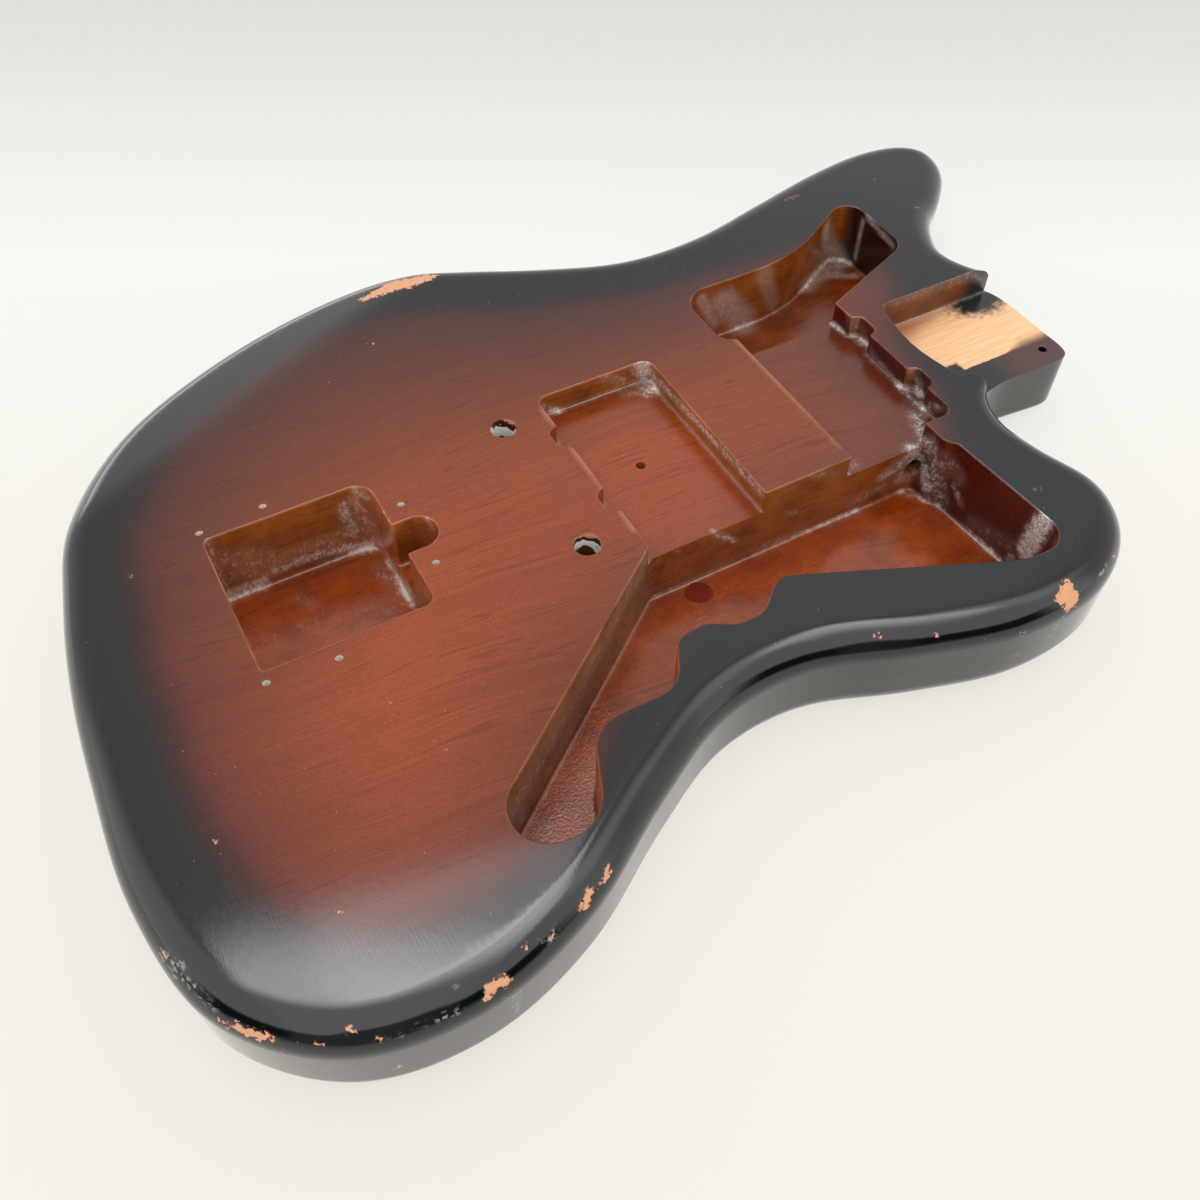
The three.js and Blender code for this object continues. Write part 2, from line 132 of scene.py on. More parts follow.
def rounded(corners: Corners, spacing: float) -> np.ndarray:
    """A closed outline whose corners are rounded by arcs, with its straight stretches divided.

    Each arc touches both walls of its corner, at the radius divided by the tangent of half the angle.

    Args:
        corners: Anticlockwise corners as x, y and radius.
        spacing: Largest distance between neighbouring points on the straight stretches.

    Returns:
        The outline's points as x and y.
    """
    pieces = []
    for i, (x, y, radius) in enumerate(corners):
        corner = np.array([x, y])
        back = np.array(corners[i - 1][:2]) - corner
        ahead = np.array(corners[(i + 1) % len(corners)][:2]) - corner
        longest = min(np.linalg.norm(back), np.linalg.norm(ahead)) / 2
        back, ahead = back / np.linalg.norm(back), ahead / np.linalg.norm(ahead)
        half = math.acos(float(np.clip(back @ ahead, -1, 1))) / 2
        reach = min(radius / math.tan(half), longest)
        fitted = reach * math.tan(half)
        centre = corner + (back + ahead) / np.linalg.norm(back + ahead) * fitted / math.sin(half)
        spoke = corner + back * reach - centre
        turn = (math.pi - 2 * half) * np.sign(ahead[0] * back[1] - ahead[1] * back[0])
        steps = max(3, math.ceil(abs(turn) / ARC_STEP))
        angles = turn * np.arange(steps + 1) / steps
        arc = np.stack([spoke[0] * np.cos(angles) - spoke[1] * np.sin(angles),
                        spoke[0] * np.sin(angles) + spoke[1] * np.cos(angles)], axis=1) + centre
        pieces.append(arc)
    ends = np.vstack(pieces)
    after = np.roll(ends, -1, axis=0)
    gaps = np.linalg.norm(after - ends, axis=1)
    counts = np.maximum(1, np.ceil(gaps / spacing)).astype(int)
    starts = np.repeat(np.arange(len(ends)), counts)
    steps = np.arange(counts.sum()) - np.repeat(np.cumsum(counts) - counts, counts)
    share = (steps / counts[starts])[:, None]
    points = ends[starts] * (1 - share) + after[starts] * share
    return points[gaps[starts] > TINY]


def inward_normals(points: np.ndarray) -> np.ndarray:
    """Unit vectors that point into an anticlockwise outline, across the line between both neighbours."""
    along = np.roll(points, -1, axis=0)[:, :2] - np.roll(points, 1, axis=0)[:, :2]
    along /= np.linalg.norm(along, axis=1)[:, None]
    return np.stack([-along[:, 1], along[:, 0]], axis=1)


def distance_to(places: np.ndarray, outline: np.ndarray) -> tuple[np.ndarray, np.ndarray]:
    """Distance from each place to a closed outline, by the nearest point of each of its segments.

    Args:
        places: Places as x and y.
        outline: The outline's points as x and y.

    Returns:
        The distances, and the index of the nearest segment for each place.
    """
    start = outline[:, :2]
    run = np.roll(start, -1, axis=0) - start
    length2 = np.maximum((run ** 2).sum(axis=1), 1e-12)
    nearest, index = np.empty(len(places)), np.empty(len(places), dtype=int)
    step = max(1, BLOCK // len(start))
    for first in range(0, len(places), step):
        block = places[first:first + step, None, :2] - start[None]
        share = np.clip((block * run).sum(axis=2) / length2, 0, 1)
        gap = ((block - share[..., None] * run) ** 2).sum(axis=2)
        index[first:first + step] = gap.argmin(axis=1)
        nearest[first:first + step] = np.sqrt(gap.min(axis=1))
    return nearest, index


def inside(places: np.ndarray, outline: np.ndarray) -> np.ndarray:
    """Whether each place lies inside a closed outline, by counting the segments that a ray crosses."""
    x, y = outline[:, 0], outline[:, 1]
    x2, y2 = np.roll(x, -1), np.roll(y, -1)
    result = np.empty(len(places), dtype=bool)
    step = max(1, BLOCK // len(x))
    for first in range(0, len(places), step):
        px, py = places[first:first + step, 0, None], places[first:first + step, 1, None]
        spans = (y > py) != (y2 > py)
        level = np.where(y2 == y, 1, y2 - y)
        crossing = spans & (px < (x2 - x) * (py - y) / level + x)
        result[first:first + step] = crossing.sum(axis=1) % 2 == 1
    return result


def eased(values: np.ndarray, low: float, high: float) -> np.ndarray:
    """A smooth step from 0 at low to 1 at high: three times the square less twice the cube."""
    share = np.clip((values - low) / (high - low), 0, 1)
    return share * share * (3 - 2 * share)


# Meshes


def placed(name: str, data: bpy.types.ID) -> bpy.types.Object:
    """An object of some data, linked to the scene."""
    made = bpy.data.objects.new(name, data)
    bpy.context.scene.collection.objects.link(made)
    return made


@dataclass
class Shell:
    """A closed mesh in millimetres, as vertices and faces."""

    vertices: np.ndarray
    quads: np.ndarray
    triangles: np.ndarray

    def to_object(self, name: str) -> bpy.types.Object:
        """The shell as an object in metres, linked to the scene under a name."""
        mesh = bpy.data.meshes.new(name)
        mesh.from_pydata((self.vertices * MM).tolist(), [], self.quads.tolist() + self.triangles.tolist())
        mesh.validate()
        mesh.update()
        return placed(name, mesh)


def cap(ring: np.ndarray, step: float) -> tuple[np.ndarray, np.ndarray]:
    """Triangles that fill a ring, over a grid of points inside it.

    Args:
        ring: The ring's points as x and y, anticlockwise.
        step: Distance between neighbouring points of the grid.

    Returns:
        The grid's own points, and triangles that count the ring's points first.
    """
    low, high = ring.min(axis=0), ring.max(axis=0)
    xs, ys = (np.arange(low[k] + step / 2, high[k], step) for k in (0, 1))
    grid = np.stack(np.meshgrid(xs, ys, indexing="ij"), axis=-1).reshape(-1, 2)
    grid = grid[inside(grid, ring)]
    if len(grid):
        grid = grid[distance_to(grid, ring)[0] > step * GRID_CLEARANCE]
    points = np.vstack([ring, grid])
    found = delaunay_2d_cdt(points.tolist(), [], [list(range(len(ring)))], 1, 1e-7)
    if len(found[0]) != len(points):
        raise ValueError("a cap's ring crosses itself")
    return grid, np.array([list(face) for face in found[2]])


def loft(rings: list[np.ndarray], step: float, flat_cap: bool = True) -> Shell:
    """A closed shell through rings of equal length, from the lowest to the highest.

    Args:
        rings: Each ring's points as x, y and z, anticlockwise from above.
        step: Distance between the points of the grids that fill the first and the last ring.
        flat_cap: Whether the last ring's cap has no grid of its own.

    Returns:
        The shell.
    """
    count = len(rings[0])
    body = np.vstack(rings)
    around = np.arange(count)
    ahead = np.roll(around, -1)
    base = (np.arange(len(rings) - 1) * count)[:, None]
    quads = np.stack([base + around, base + ahead, base + ahead + count, base + around + count], axis=-1)
    low_grid, low_faces = cap(rings[0][:, :2], step)
    high_grid, high_faces = cap(rings[-1][:, :2], NO_GRID if flat_cap else step)
    low_points = np.column_stack([low_grid, np.full(len(low_grid), rings[0][0, 2])])
    high_points = np.column_stack([high_grid, np.full(len(high_grid), rings[-1][0, 2])])
    total = len(body)
    low_faces = np.where(low_faces < count, low_faces, low_faces - count + total)[:, ::-1]
    first_high = total + len(low_points)
    high_faces = np.where(high_faces < count, high_faces + total - count, high_faces - count + first_high)
    return Shell(np.vstack([body, low_points, high_points]), quads.reshape(-1, 4),
                 np.vstack([low_faces, high_faces]))


def ring_at(points: np.ndarray, inset: float | np.ndarray, height: float | np.ndarray) -> np.ndarray:
    """A ring moved inwards from an outline, at a height."""
    shift = np.broadcast_to(inset, len(points))[:, None]
    place = points[:, :2] + inward_normals(points) * shift
    return np.column_stack([place, np.broadcast_to(height, len(points))])


def finished_mesh(made: bpy.types.Object) -> None:
    """Applies every modifier of an object and removes them."""
    bpy.context.view_layer.update()
    graph = bpy.context.evaluated_depsgraph_get()
    mesh = bpy.data.meshes.new_from_object(made.evaluated_get(graph))
    old = made.data
    made.modifiers.clear()
    made.data = mesh
    mesh.name = made.name
    bpy.data.meshes.remove(old)


def cut(made: bpy.types.Object, tools: list[bpy.types.Object], operation: str = "DIFFERENCE") -> None:
    """Cuts an object by others, which are removed afterwards.

    Args:
        made: The object that is cut.
        tools: Closed objects, each cut in turn.
        operation: The Boolean modifier's operation.
    """
    for tool in tools:
        modifier = made.modifiers.new(tool.name, "BOOLEAN")
        modifier.operation = operation
        modifier.solver = "MANIFOLD"
        modifier.object = tool
    finished_mesh(made)
    for tool in tools:
        mesh = tool.data
        bpy.data.objects.remove(tool)
        bpy.data.meshes.remove(mesh)


def coordinates(mesh: bpy.types.Mesh) -> np.ndarray:
    """A mesh's vertices in millimetres."""
    flat = np.empty(len(mesh.vertices) * 3, dtype=np.float32)
    mesh.vertices.foreach_get("co", flat)
    return flat.reshape(-1, 3).astype(float) / MM


def set_attribute(mesh: bpy.types.Mesh, name: str, values: np.ndarray) -> None:
    """Stores one number for each vertex."""
    layer = mesh.attributes.new(name, "FLOAT", "POINT")
    layer.data.foreach_set("value", values.astype(np.float32))


# The body's block


BUTT_TO_TREBLE_HORN_SHARES = (
    (-0.388, -0.124), (-0.388, -0.273), (-0.364, -0.406), (-0.302, -0.489), (-0.219, -0.509),
    (-0.135, -0.477), (-0.055, -0.408), (0.019, -0.356), (0.094, -0.350), (0.180, -0.393),
    (0.266, -0.425), (0.342, -0.415), (0.393, -0.369), (0.412, -0.302), (0.397, -0.222), (0.391, -0.166),
)
BASS_HORN_TO_BUTT_SHARES = (
    (0.505, 0.148, 0), (0.515, 0.189, 0), (0.538, 0.235, 0), (0.574, 0.278, 0), (0.605, 0.328, 0),
    (0.609, 0.381, 0), (0.585, 0.415, 0), (0.537, 0.428, 0), (0.467, 0.416, 0), (0.379, 0.385, 0),
    (0.291, 0.355, 0.5), (0.210, 0.355, 1), (0.137, 0.392, 1), (0.063, 0.442, 0.7), (-0.015, 0.487, 0.2),
    (-0.107, 0.482, 0), (-0.202, 0.437, 0), (-0.288, 0.356, 0), (-0.346, 0.234, 0), (-0.371, 0.099, 0),
    (-0.383, -0.012, 0),
)


@dataclass
class BodyBlock:
    """The body's outline, rounded edges and contours, before anything is cut into it."""

    length: float = 494
    width: float = 342
    thickness: float = 45
    edge_radius: float = 12.9
    pocket_width: float = 56.5
    heel_end: float = 262
    heel_corner: float = 6
    treble_wall_end: float = 199
    heel_fillet: float = 12
    forearm_slope_share: float = 0.24
    forearm_blend: float = 14
    forearm_line_shares: tuple = ((-0.338, 0.195), (0.041, 0.456))
    belly_depth: float = 10
    belly_width: float = 48
    room_share: float = 0.9
    sample_spacing: float = 1.25
    grid_step: float = 3
    roundover_steps: int = 14
    smoothing: float = 5
    smoothing_reach: int = 16
    calm_place: tuple[float, float] = (30, 0)
    calm_reach: tuple[float, float] = (70, 110)
    samples: np.ndarray = field(init=False)

    def __post_init__(self) -> None:
        """Works out the samples of the outline."""
        self.samples = self.outline_samples()

    def heel_rows(self) -> np.ndarray:
        """The outline round the heel: x, y, the shares of the top and back edges, and of the belly."""
        side, fillet, corner = self.pocket_width / 2, self.heel_fillet, self.heel_corner
        wall, end = self.treble_wall_end, self.heel_end
        step = corner * math.sqrt(0.5)
        return np.array([
            (wall - fillet / 4, -side - fillet * 1.15, 0.6, 1, 0),
            (wall + fillet / 2, -side - fillet / 3, 0.2, 0.7, 0),
            (wall + fillet * 1.7, -side, 0.1, 0.5, 0),
            (end - corner, -side, 0.1, 0.2, 0),
            (end - corner + step, -side + corner - step, 0.1, 0.2, 0),
            (end, -side + corner, 0.1, 0.2, 0),
            (end, -side / 4, 0.1, 0.5, 0),
            (end, side / 2, 0.2, 0.5, 0),
            (end - corner * 0.35, side - corner * 0.35, 0.8, 0.8, 0),
            (end - corner * 1.4, side + corner * 1.35, 1, 1, 0),
        ])

    def outline_samples(self) -> np.ndarray:
        """The whole outline as even samples: x, y, top edge radius, back edge radius and belly share.

        Away from the heel the curve is smoothed by a weighted mean of its neighbours, so that its bend
        changes evenly, and near tight corners both radii are limited by the room inside the outline.
        """
        full = np.array([self.length, self.width])
        treble = np.array(BUTT_TO_TREBLE_HORN_SHARES) * full
        bass = np.array(BASS_HORN_TO_BUTT_SHARES)
        rows = np.vstack([
            np.column_stack([treble, np.ones((len(treble), 2)), np.zeros(len(treble))]),
            self.heel_rows(),
            np.column_stack([bass[:, :2] * full, np.ones((len(bass), 2)), bass[:, 2]]),
        ])
        samples = curve_through(rows, self.sample_spacing)
        offsets = np.arange(-self.smoothing_reach, self.smoothing_reach + 1)
        weights = np.exp(-0.5 * (offsets * self.sample_spacing / self.smoothing) ** 2)
        weights /= weights.sum()
        soft = sum(weight * np.roll(samples, -offset, axis=0) for offset, weight in zip(offsets, weights))
        heel = np.array([self.treble_wall_end, 0]) + self.calm_place
        away = eased(np.linalg.norm(samples[:, :2] - heel, axis=1), *self.calm_reach)[:, None]
        samples = soft * away + samples * (1 - away)
        samples[:, 2:] = soft[:, 2:]
        room = self.room(samples)
        for column in (2, 3):
            samples[:, column] = np.minimum(samples[:, column] * self.edge_radius, self.room_share * room)
        return samples

    def room(self, samples: np.ndarray) -> np.ndarray:
        """The radius of the largest circle inside the outline that touches it at each sample."""
        inward = inward_normals(samples)
        apart = samples[None, :, :2] - samples[:, None, :2]
        depth = (apart * inward[:, None]).sum(axis=2)
        square = (apart ** 2).sum(axis=2)
        with np.errstate(divide="ignore", invalid="ignore"):
            radius = np.where(depth > TINY, square / (2 * depth), np.inf)
        return radius.min(axis=1)

    def top_height(self, places: np.ndarray) -> np.ndarray:
        """Height of the top: flat, then a parabola over the blend, then the forearm's even slope."""
        start, finish = (np.array(share) * (self.length, self.width) for share in self.forearm_line_shares)
        run = (finish - start) / np.linalg.norm(finish - start)
        out = np.array([-run[1], run[0]])
        beyond = (places[:, :2] - start) @ out + self.forearm_blend / 2
        blend = np.clip(beyond, 0, self.forearm_blend)
        fall = blend ** 2 / (2 * self.forearm_blend) + np.maximum(0, beyond - self.forearm_blend)
        return self.thickness - self.forearm_slope_share * fall

    def back_height(self, places: np.ndarray) -> np.ndarray:
        """Height of the back: the belly contour falls with the square of the way in from the edge."""
        gap, index = distance_to(places, self.samples)
        share = self.samples[index, 4]
        reach = self.belly_width * np.maximum(share, TINY)
        way = np.clip((gap - self.samples[index, 3]) / reach, 0, 1)
        return self.belly_depth * share * (1 - way) ** 2

    def shell(self) -> Shell:
        """The block: a quarter circle round each edge, and both faces over a grid of points."""
        samples = self.samples
        top, back, belly = samples[:, 2], samples[:, 3], self.belly_depth * samples[:, 4]
        angles = np.linspace(0, math.pi / 2, self.roundover_steps + 1)
        rings = [ring_at(samples, back * (1 - math.sin(a)), belly + back * (1 - math.cos(a)))
                 for a in angles]
        for angle in angles:
            ring = ring_at(samples, top * (1 - math.cos(angle)), 0)
            ring[:, 2] = self.top_height(ring) - top * (1 - math.sin(angle))
            rings.append(ring)
        shell = loft(rings, self.grid_step, flat_cap=False)
        start = len(rings) * len(samples)
        low_count = (shell.vertices[start:, 2] == rings[0][0, 2]).sum()
        caps = shell.vertices[start:]
        caps[:low_count, 2] = self.back_height(caps[:low_count])
        caps[low_count:, 2] = self.top_height(caps[low_count:])
        return shell


# The cavities


@dataclass
class Cavity:
    """A recess with upright walls: a rounded floor edge below and an eased rim above."""

    name: str
    corners: Corners
    floor: float
    top: float
    floor_radius: float = 1.1
    rim_radius: float = 0.75
    rim_turn: float = math.radians(75)
    tightness: float = 0
    spacing: float = 1.7
    grid: float = 2.6
    wall_step: float = 2.3
    rise: float = 3
    nose: tuple[float, float] | None = None
    nose_radius: float = 6
    nose_fade: tuple[float, float] = (2, 15)
    outline: np.ndarray = field(init=False)

    def __post_init__(self) -> None:
        """Works out the outline, made smaller by the tightness."""
        self.outline = rounded(self.corners, self.spacing)
        self.outline = ring_at(self.outline, self.tightness, 0)[:, :2]

    def leaned(self, ring: np.ndarray) -> np.ndarray:
        """A ring drawn back along X near the nose, by a quarter circle that ends at the top."""
        if self.nose:
            up = np.clip((ring[:, 2] - self.top) / self.nose_radius + 1, 0, 1)
            near = 1 - eased(np.hypot(*(ring[:, :2] - self.nose).T), *self.nose_fade)
            ring[:, 0] -= self.nose_radius * (1 - np.sqrt(1 - up ** 2)) * near
        return ring

    def shell(self) -> Shell:
        """The cutter: floor, quarter circle up to the wall, wall, and a quarter circle out to the rim."""
        rings = [ring_at(self.outline, self.floor_radius * (1 - math.sin(a)),
                         self.floor + self.floor_radius * (1 - math.cos(a)))
                 for a in np.linspace(0, math.pi / 2, 5)]
        low, high = self.floor + self.floor_radius, self.top - self.rim_radius
        count = max(1, math.ceil((high - low) / self.wall_step))
        rings += [ring_at(self.outline, 0, z) for z in np.linspace(low, high, count + 1)[1:]]
        if self.rim_radius:
            turns = np.linspace(0, self.rim_turn, 6)[1:]
            insets = self.rim_radius * (np.cos(turns) - 1)
            rings += [ring_at(self.outline, inset, high + self.rim_radius * math.sin(a))
                      for inset, a in zip(insets, turns)]
            rings.append(ring_at(self.outline, insets[-1], self.top + self.rise))
        return loft([self.leaned(ring) for ring in rings], self.grid)


def circle(x: float, y: float, radius: float) -> Corners:
    """A round outline as four corners whose arcs meet."""
    return [(x + a * radius, y + b * radius, radius) for a, b in ((-1, -1), (1, -1), (1, 1), (-1, 1))]


CONTROL_RIM: Corners = [
    (-79, -122.4, 12.8), (-74.1, -140.6, 16), (-50.9, -142.6, 16), (-37.1, -108.8, 14.4), (-3, -109.1, 14.4),
    (6.9, -91, 6.4), (19.8, -89.9, 8), (29.6, -96.1, 12), (41, -96.1, 12), (55.3, -83.8, 8.8),
    (144.2, -122.8, 32), (166, -122.8, 14.4), (161.5, -61.2, 4), (157.6, -56.8, 4),
]


@dataclass
class Cavities:
    """Every recess and hole in the body, in the body's own sizes."""

    block: BodyBlock
    pickup_depth: float = 11.1
    control_floor: float = 8.2
    control_wall: float = -46.6
    rhythm_floor: float = 13.1
    tremolo_floor: float = 8.1
    slot_floor: float = 20.7
    pocket_depth: float = 16
    tightness: float = 0.02
    overlap: float = 2.5
    post_spacing: float = 73
    post_radius: float = 5.45
    post_depth: float = 25
    pilot_radius: float = 1.5
    pilot_depth: float = 18
    pilot_places: tuple = ((-127.6, 39.3), (-101.8, 41.4), (-54.1, 16.9))
    floor_hole: tuple[float, float, float, float] = (45.3, 0, 2, 10)
    heel_hole: tuple[float, float, float, float] = (253.1, -18.95, 1.9, 18)
    channel_radius: float = 4.55
    channel_place: float = 155.5
    channel_height: float = 21.75
    channel_span: tuple[float, float] = (-49, 44)
    channel_sides: int = 40
    plug_radius: float = 5.8
    plug_gap: float = 0.04
    plug_place: tuple[float, float] = (43, -53.4)
    plug_thickness: float = 5
    recesses: list[Cavity] = field(init=False)

    def __post_init__(self) -> None:
        """Lists the recesses."""
        top = self.block.thickness
        pickup_floor = top - self.pickup_depth
        lower = {"rim_radius": 0, "tightness": self.tightness}
        self.recesses = [
            Cavity("electronics_upper", self.upper_rim(), pickup_floor, top, floor_radius=0.8),
            Cavity("control_lower", self.control_lower(), self.control_floor, pickup_floor + self.overlap,
                   **lower),
            Cavity("rhythm_lower", self.rhythm_lower(), self.rhythm_floor, pickup_floor + self.overlap,
                   **lower),
            Cavity("tremolo_upper", self.tremolo_rim(), self.slot_floor, top),
            Cavity("tremolo_lower", self.tremolo_box(), self.tremolo_floor, self.slot_floor + self.overlap,
                   **lower),
            Cavity("neck_pocket", self.pocket_rim(), top - self.pocket_depth, top, floor_radius=0.6,
                   wall_step=0.8, nose=(259.2, self.block.pocket_width / 2 + 1.5)),
            *self.holes(),
        ]

    def upper_rim(self) -> Corners:
        """The rim that both pickups, the control cavity and the rhythm cavity share."""
        return [
            (75.2, 45.9, 5), (20.2, 45.9, 4), (20.2, 27.4, 0.8), (15.4, 25.5, 6.8), (15.4, 15.1, 6.8),
            (20.2, 13.2, 0.8), (20.2, -13.2, 0.8), (15.4, -15.1, 6.8), (15.4, -25.5, 6.8), (20.2, -27.4, 0.8),
            (20.2, -48.8, 1.5), *CONTROL_RIM, (157.6, -44.3, 1.2), (172.7, -44.3, 5), (172.7, -27.4, 0.8),
            (177.5, -25.5, 6.8), (177.5, -15.1, 6.8), (172.7, -13.2, 0.8), (172.7, 13.2, 0.8),
            (177.5, 15.1, 6.8), (177.5, 25.5, 6.8), (172.7, 27.4, 0.8), (172.7, 39.9, 1.5),
            (229.7, 62.2, 10.4), (229.7, 109.4, 9.1), (175.9, 78, 88), (111.6, 78, 13), (111.6, 43.2, 12),
            (118, 39.4, 0.8), (118, -46.6, 1.2), (75.2, -46.6, 1.2),
        ]

    def control_lower(self) -> Corners:
        """The control cavity below the level of the pickups."""
        return [(23.2, self.control_wall, 2.5), *CONTROL_RIM, (157.6, self.control_wall, 3)]

    def rhythm_lower(self) -> Corners:
        """The rhythm cavity below the level of the pickups."""
        return [(111.6, 37.6, 13), (166, 37.3, 13), (229.7, 62.2, 10.4), (229.7, 109.4, 9.1),
                (175.9, 78, 88), (111.6, 78, 13)]

    def tremolo_rim(self) -> Corners:
        """The tremolo's cavity with its slot."""
        return [(-127.6, -34.4, 2), (-61.8, -34.4, 4), (-61.8, -8, 1), (-46.4, -8, 8), (-46.4, 8, 8),
                (-61.8, 8, 1), (-61.8, 34.4, 7.5), (-127.6, 34.4, 2.8)]

    def tremolo_box(self) -> Corners:
        """The tremolo's cavity below its slot."""
        return [(-127.6, -34.4, 2), (-61.8, -34.4, 4), (-61.8, 34.4, 7.5), (-127.6, 34.4, 2.8)]

    def pocket_rim(self) -> Corners:
        """The neck's pocket, whose walls turn outwards at the heel."""
        side = self.block.pocket_width / 2
        return [(190.6, -side, 6.5), (198.6, -side, 5), (199.4, -60, 1.5), (282, -60, 2), (282, 63, 2),
                (265, 44, 3), (257, side + 7.4, 2), (259, side + 3.4, 1.6), (259.2, side + 1.5, 1.4),
                (258.2, side + 0.3, 1.2), (254.4, side, 3), (190.6, side, 5), (184.2, 0, 86)]

    def posts(self) -> list[tuple[float, float]]:
        """The middles of the bridge's post holes."""
        return [(0, side * self.post_spacing / 2) for side in (1, -1)]

    def pilots(self) -> list[tuple[float, float]]:
        """The middles of the pilot holes."""
        return [(x, y * side) for x, y in self.pilot_places for side in (1, -1)]

    def holes(self) -> list[Cavity]:
        """Round holes: bridge posts, pilots, pickup's floor, heel and the plug's seat."""
        top = self.block.thickness
        pickup_floor, pocket_floor = top - self.pickup_depth, top - self.pocket_depth
        small = {"floor_radius": 0.3, "spacing": 0.6, "grid": 1.5, "wall_step": 1.2}
        posts = [("post_hole", x, y, self.post_radius, top, self.post_depth, 0.5) for x, y in self.posts()]
        pilots = [("pilot", x, y, self.pilot_radius, top, self.pilot_depth, 0.35) for x, y in self.pilots()]
        rows = [
            *posts, *pilots,
            ("floor_hole", *self.floor_hole[:3], pickup_floor, self.floor_hole[3], 0.3),
            ("heel_hole", *self.heel_hole[:3], pocket_floor, self.heel_hole[3], 0.3),
            ("plug_seat", *self.plug_place, self.plug_radius + self.plug_gap, self.control_floor,
             self.plug_thickness, 0.1),
        ]
        return [Cavity(f"{name}_{k}", circle(x, y, radius), high - depth, high, rim_radius=rim, **small)
                for k, (name, x, y, radius, high, depth, rim) in enumerate(rows)]

    def wire_channel(self) -> Shell:
        """The round bore from the control cavity to the rhythm cavity, as a profile carried along Y."""
        angles = np.linspace(0, 2 * math.pi, self.channel_sides, endpoint=False)
        across = self.channel_place + self.channel_radius * np.cos(angles)
        height = self.channel_height + self.channel_radius * np.sin(angles)
        low, high = self.channel_span
        rings = [np.column_stack([across, height, np.full(len(angles), -y)])
                 for y in np.linspace(high, low, 48)]
        made = loft(rings, 3)
        made.vertices = made.vertices[:, [0, 2, 1]] * (1, -1, 1)
        return made

    def in_channel(self, points: np.ndarray) -> np.ndarray:
        """Whether points lie in the wire channel or on its wall."""
        away = np.hypot(points[:, 0] - self.channel_place, points[:, 2] - self.channel_height)
        low, high = self.channel_span
        return (away < self.channel_radius + 0.1) & (points[:, 1] > low - 1) & (points[:, 1] < high + 1)

    def tools(self) -> list[bpy.types.Object]:
        """Every cutter as an object."""
        made = [cavity.shell().to_object(cavity.name) for cavity in self.recesses]
        return made + [self.wire_channel().to_object("channel")]


# The boards


@dataclass
class Boards:
    """Three boards, cut from one shaped block at two glued joints."""

    block: BodyBlock
    cavities: Cavities
    joints: tuple[float, float] = (-60.8, 50.6)
    sharp_angle: float = 32
    margin: float = 4
    excess: float = 10
    whole: bpy.types.Object = field(init=False)
    spans: dict[str, tuple[float, float]] = field(init=False)

    def __post_init__(self) -> None:
        """Works out each board's share of the width, by its node's name."""
        far = self.block.width
        self.spans = {"treble_board": (-far, self.joints[0]), "centre_board": self.joints,
                      "bass_board": (self.joints[1], far)}

    def slab(self, name: str, low: float, high: float) -> bpy.types.Object:
        """A closed box over one board's share of the width."""
        reach = self.block.length
        corners = np.array([(-reach, low), (reach, low), (reach, high), (-reach, high)])
        heights = (-self.excess, self.block.thickness + self.excess)
        rings = [np.column_stack([corners, np.full(len(corners), z)]) for z in heights]
        return loft(rings, NO_GRID).to_object(name)

    def build(self) -> dict[str, bpy.types.Object]:
        """Cuts the block, divides it, and returns each board by its node's name."""
        whole = self.whole = self.block.shell().to_object("whole")
        cut(whole, self.cavities.tools())
        LOG.info("whole body: %d vertices", len(whole.data.vertices))
        boards = {}
        for name, (low, high) in self.spans.items():
            board = placed(name + "_look", whole.data.copy())
            cut(board, [self.slab("slab", low, high)], "INTERSECT")
            boards[name] = board
        return boards

    def near(self, node: str, marks: list[Spot]) -> list[Spot]:
        """The marks that reach one board."""
        low, high = self.spans[node]
        return [(place, radius) for place, radius in marks
                if low - radius - self.margin < place.y < high + radius + self.margin]

    def remove_whole(self) -> None:
        """Removes the undivided body, once every mark on it is found."""
        bpy.data.objects.remove(self.whole)

    def finish(self, board: bpy.types.Object) -> None:
        """Smooth shading with sharp creases."""
        board.data.shade_smooth()
        board.data.set_sharp_from_angle(angle=math.radians(self.sharp_angle))
        weighted = board.modifiers.new("even_normals", "WEIGHTED_NORMAL")
        weighted.keep_sharp = True


# Scene


@dataclass
class Camera:
    """The photograph's view: the camera's place and the point that it looks at, in millimetres."""

    place: tuple[float, float, float] = (-138.5, -290.0, 374.5)
    target: tuple[float, float, float] = (-4.3, -60.2, 45.0)
    roll: float = 1.42
    lens: float = 34.46
    sensor: float = 36
    shift: tuple[float, float] = (-0.0065, -0.0076)

    def build(self) -> None:
        """Makes the camera and sets it as the scene's."""
        data = bpy.data.cameras.new("camera")
        data.sensor_width = self.sensor
        data.lens = self.lens
        data.shift_x, data.shift_y = self.shift
        data.clip_start, data.clip_end = 0.01, 20
        made = placed("camera", data)
        place, target = Vector(self.place) * MM, Vector(self.target) * MM
        turn = (target - place).to_track_quat("-Z", "Y").to_matrix().to_4x4()
        rolled = turn @ Matrix.Rotation(math.radians(self.roll), 4, "Z")
        made.matrix_world = Matrix.Translation(place) @ rolled
        bpy.context.scene.camera = made


# Marks of the finish


@dataclass(frozen=True)
class Mark:
    """A spot on the surface, found where the photograph shows it.

    Attributes:
        pixel: Its place in the photograph's frame.
        radius: Its radius in millimetres.
    """

    pixel: tuple[float, float]
    radius: float


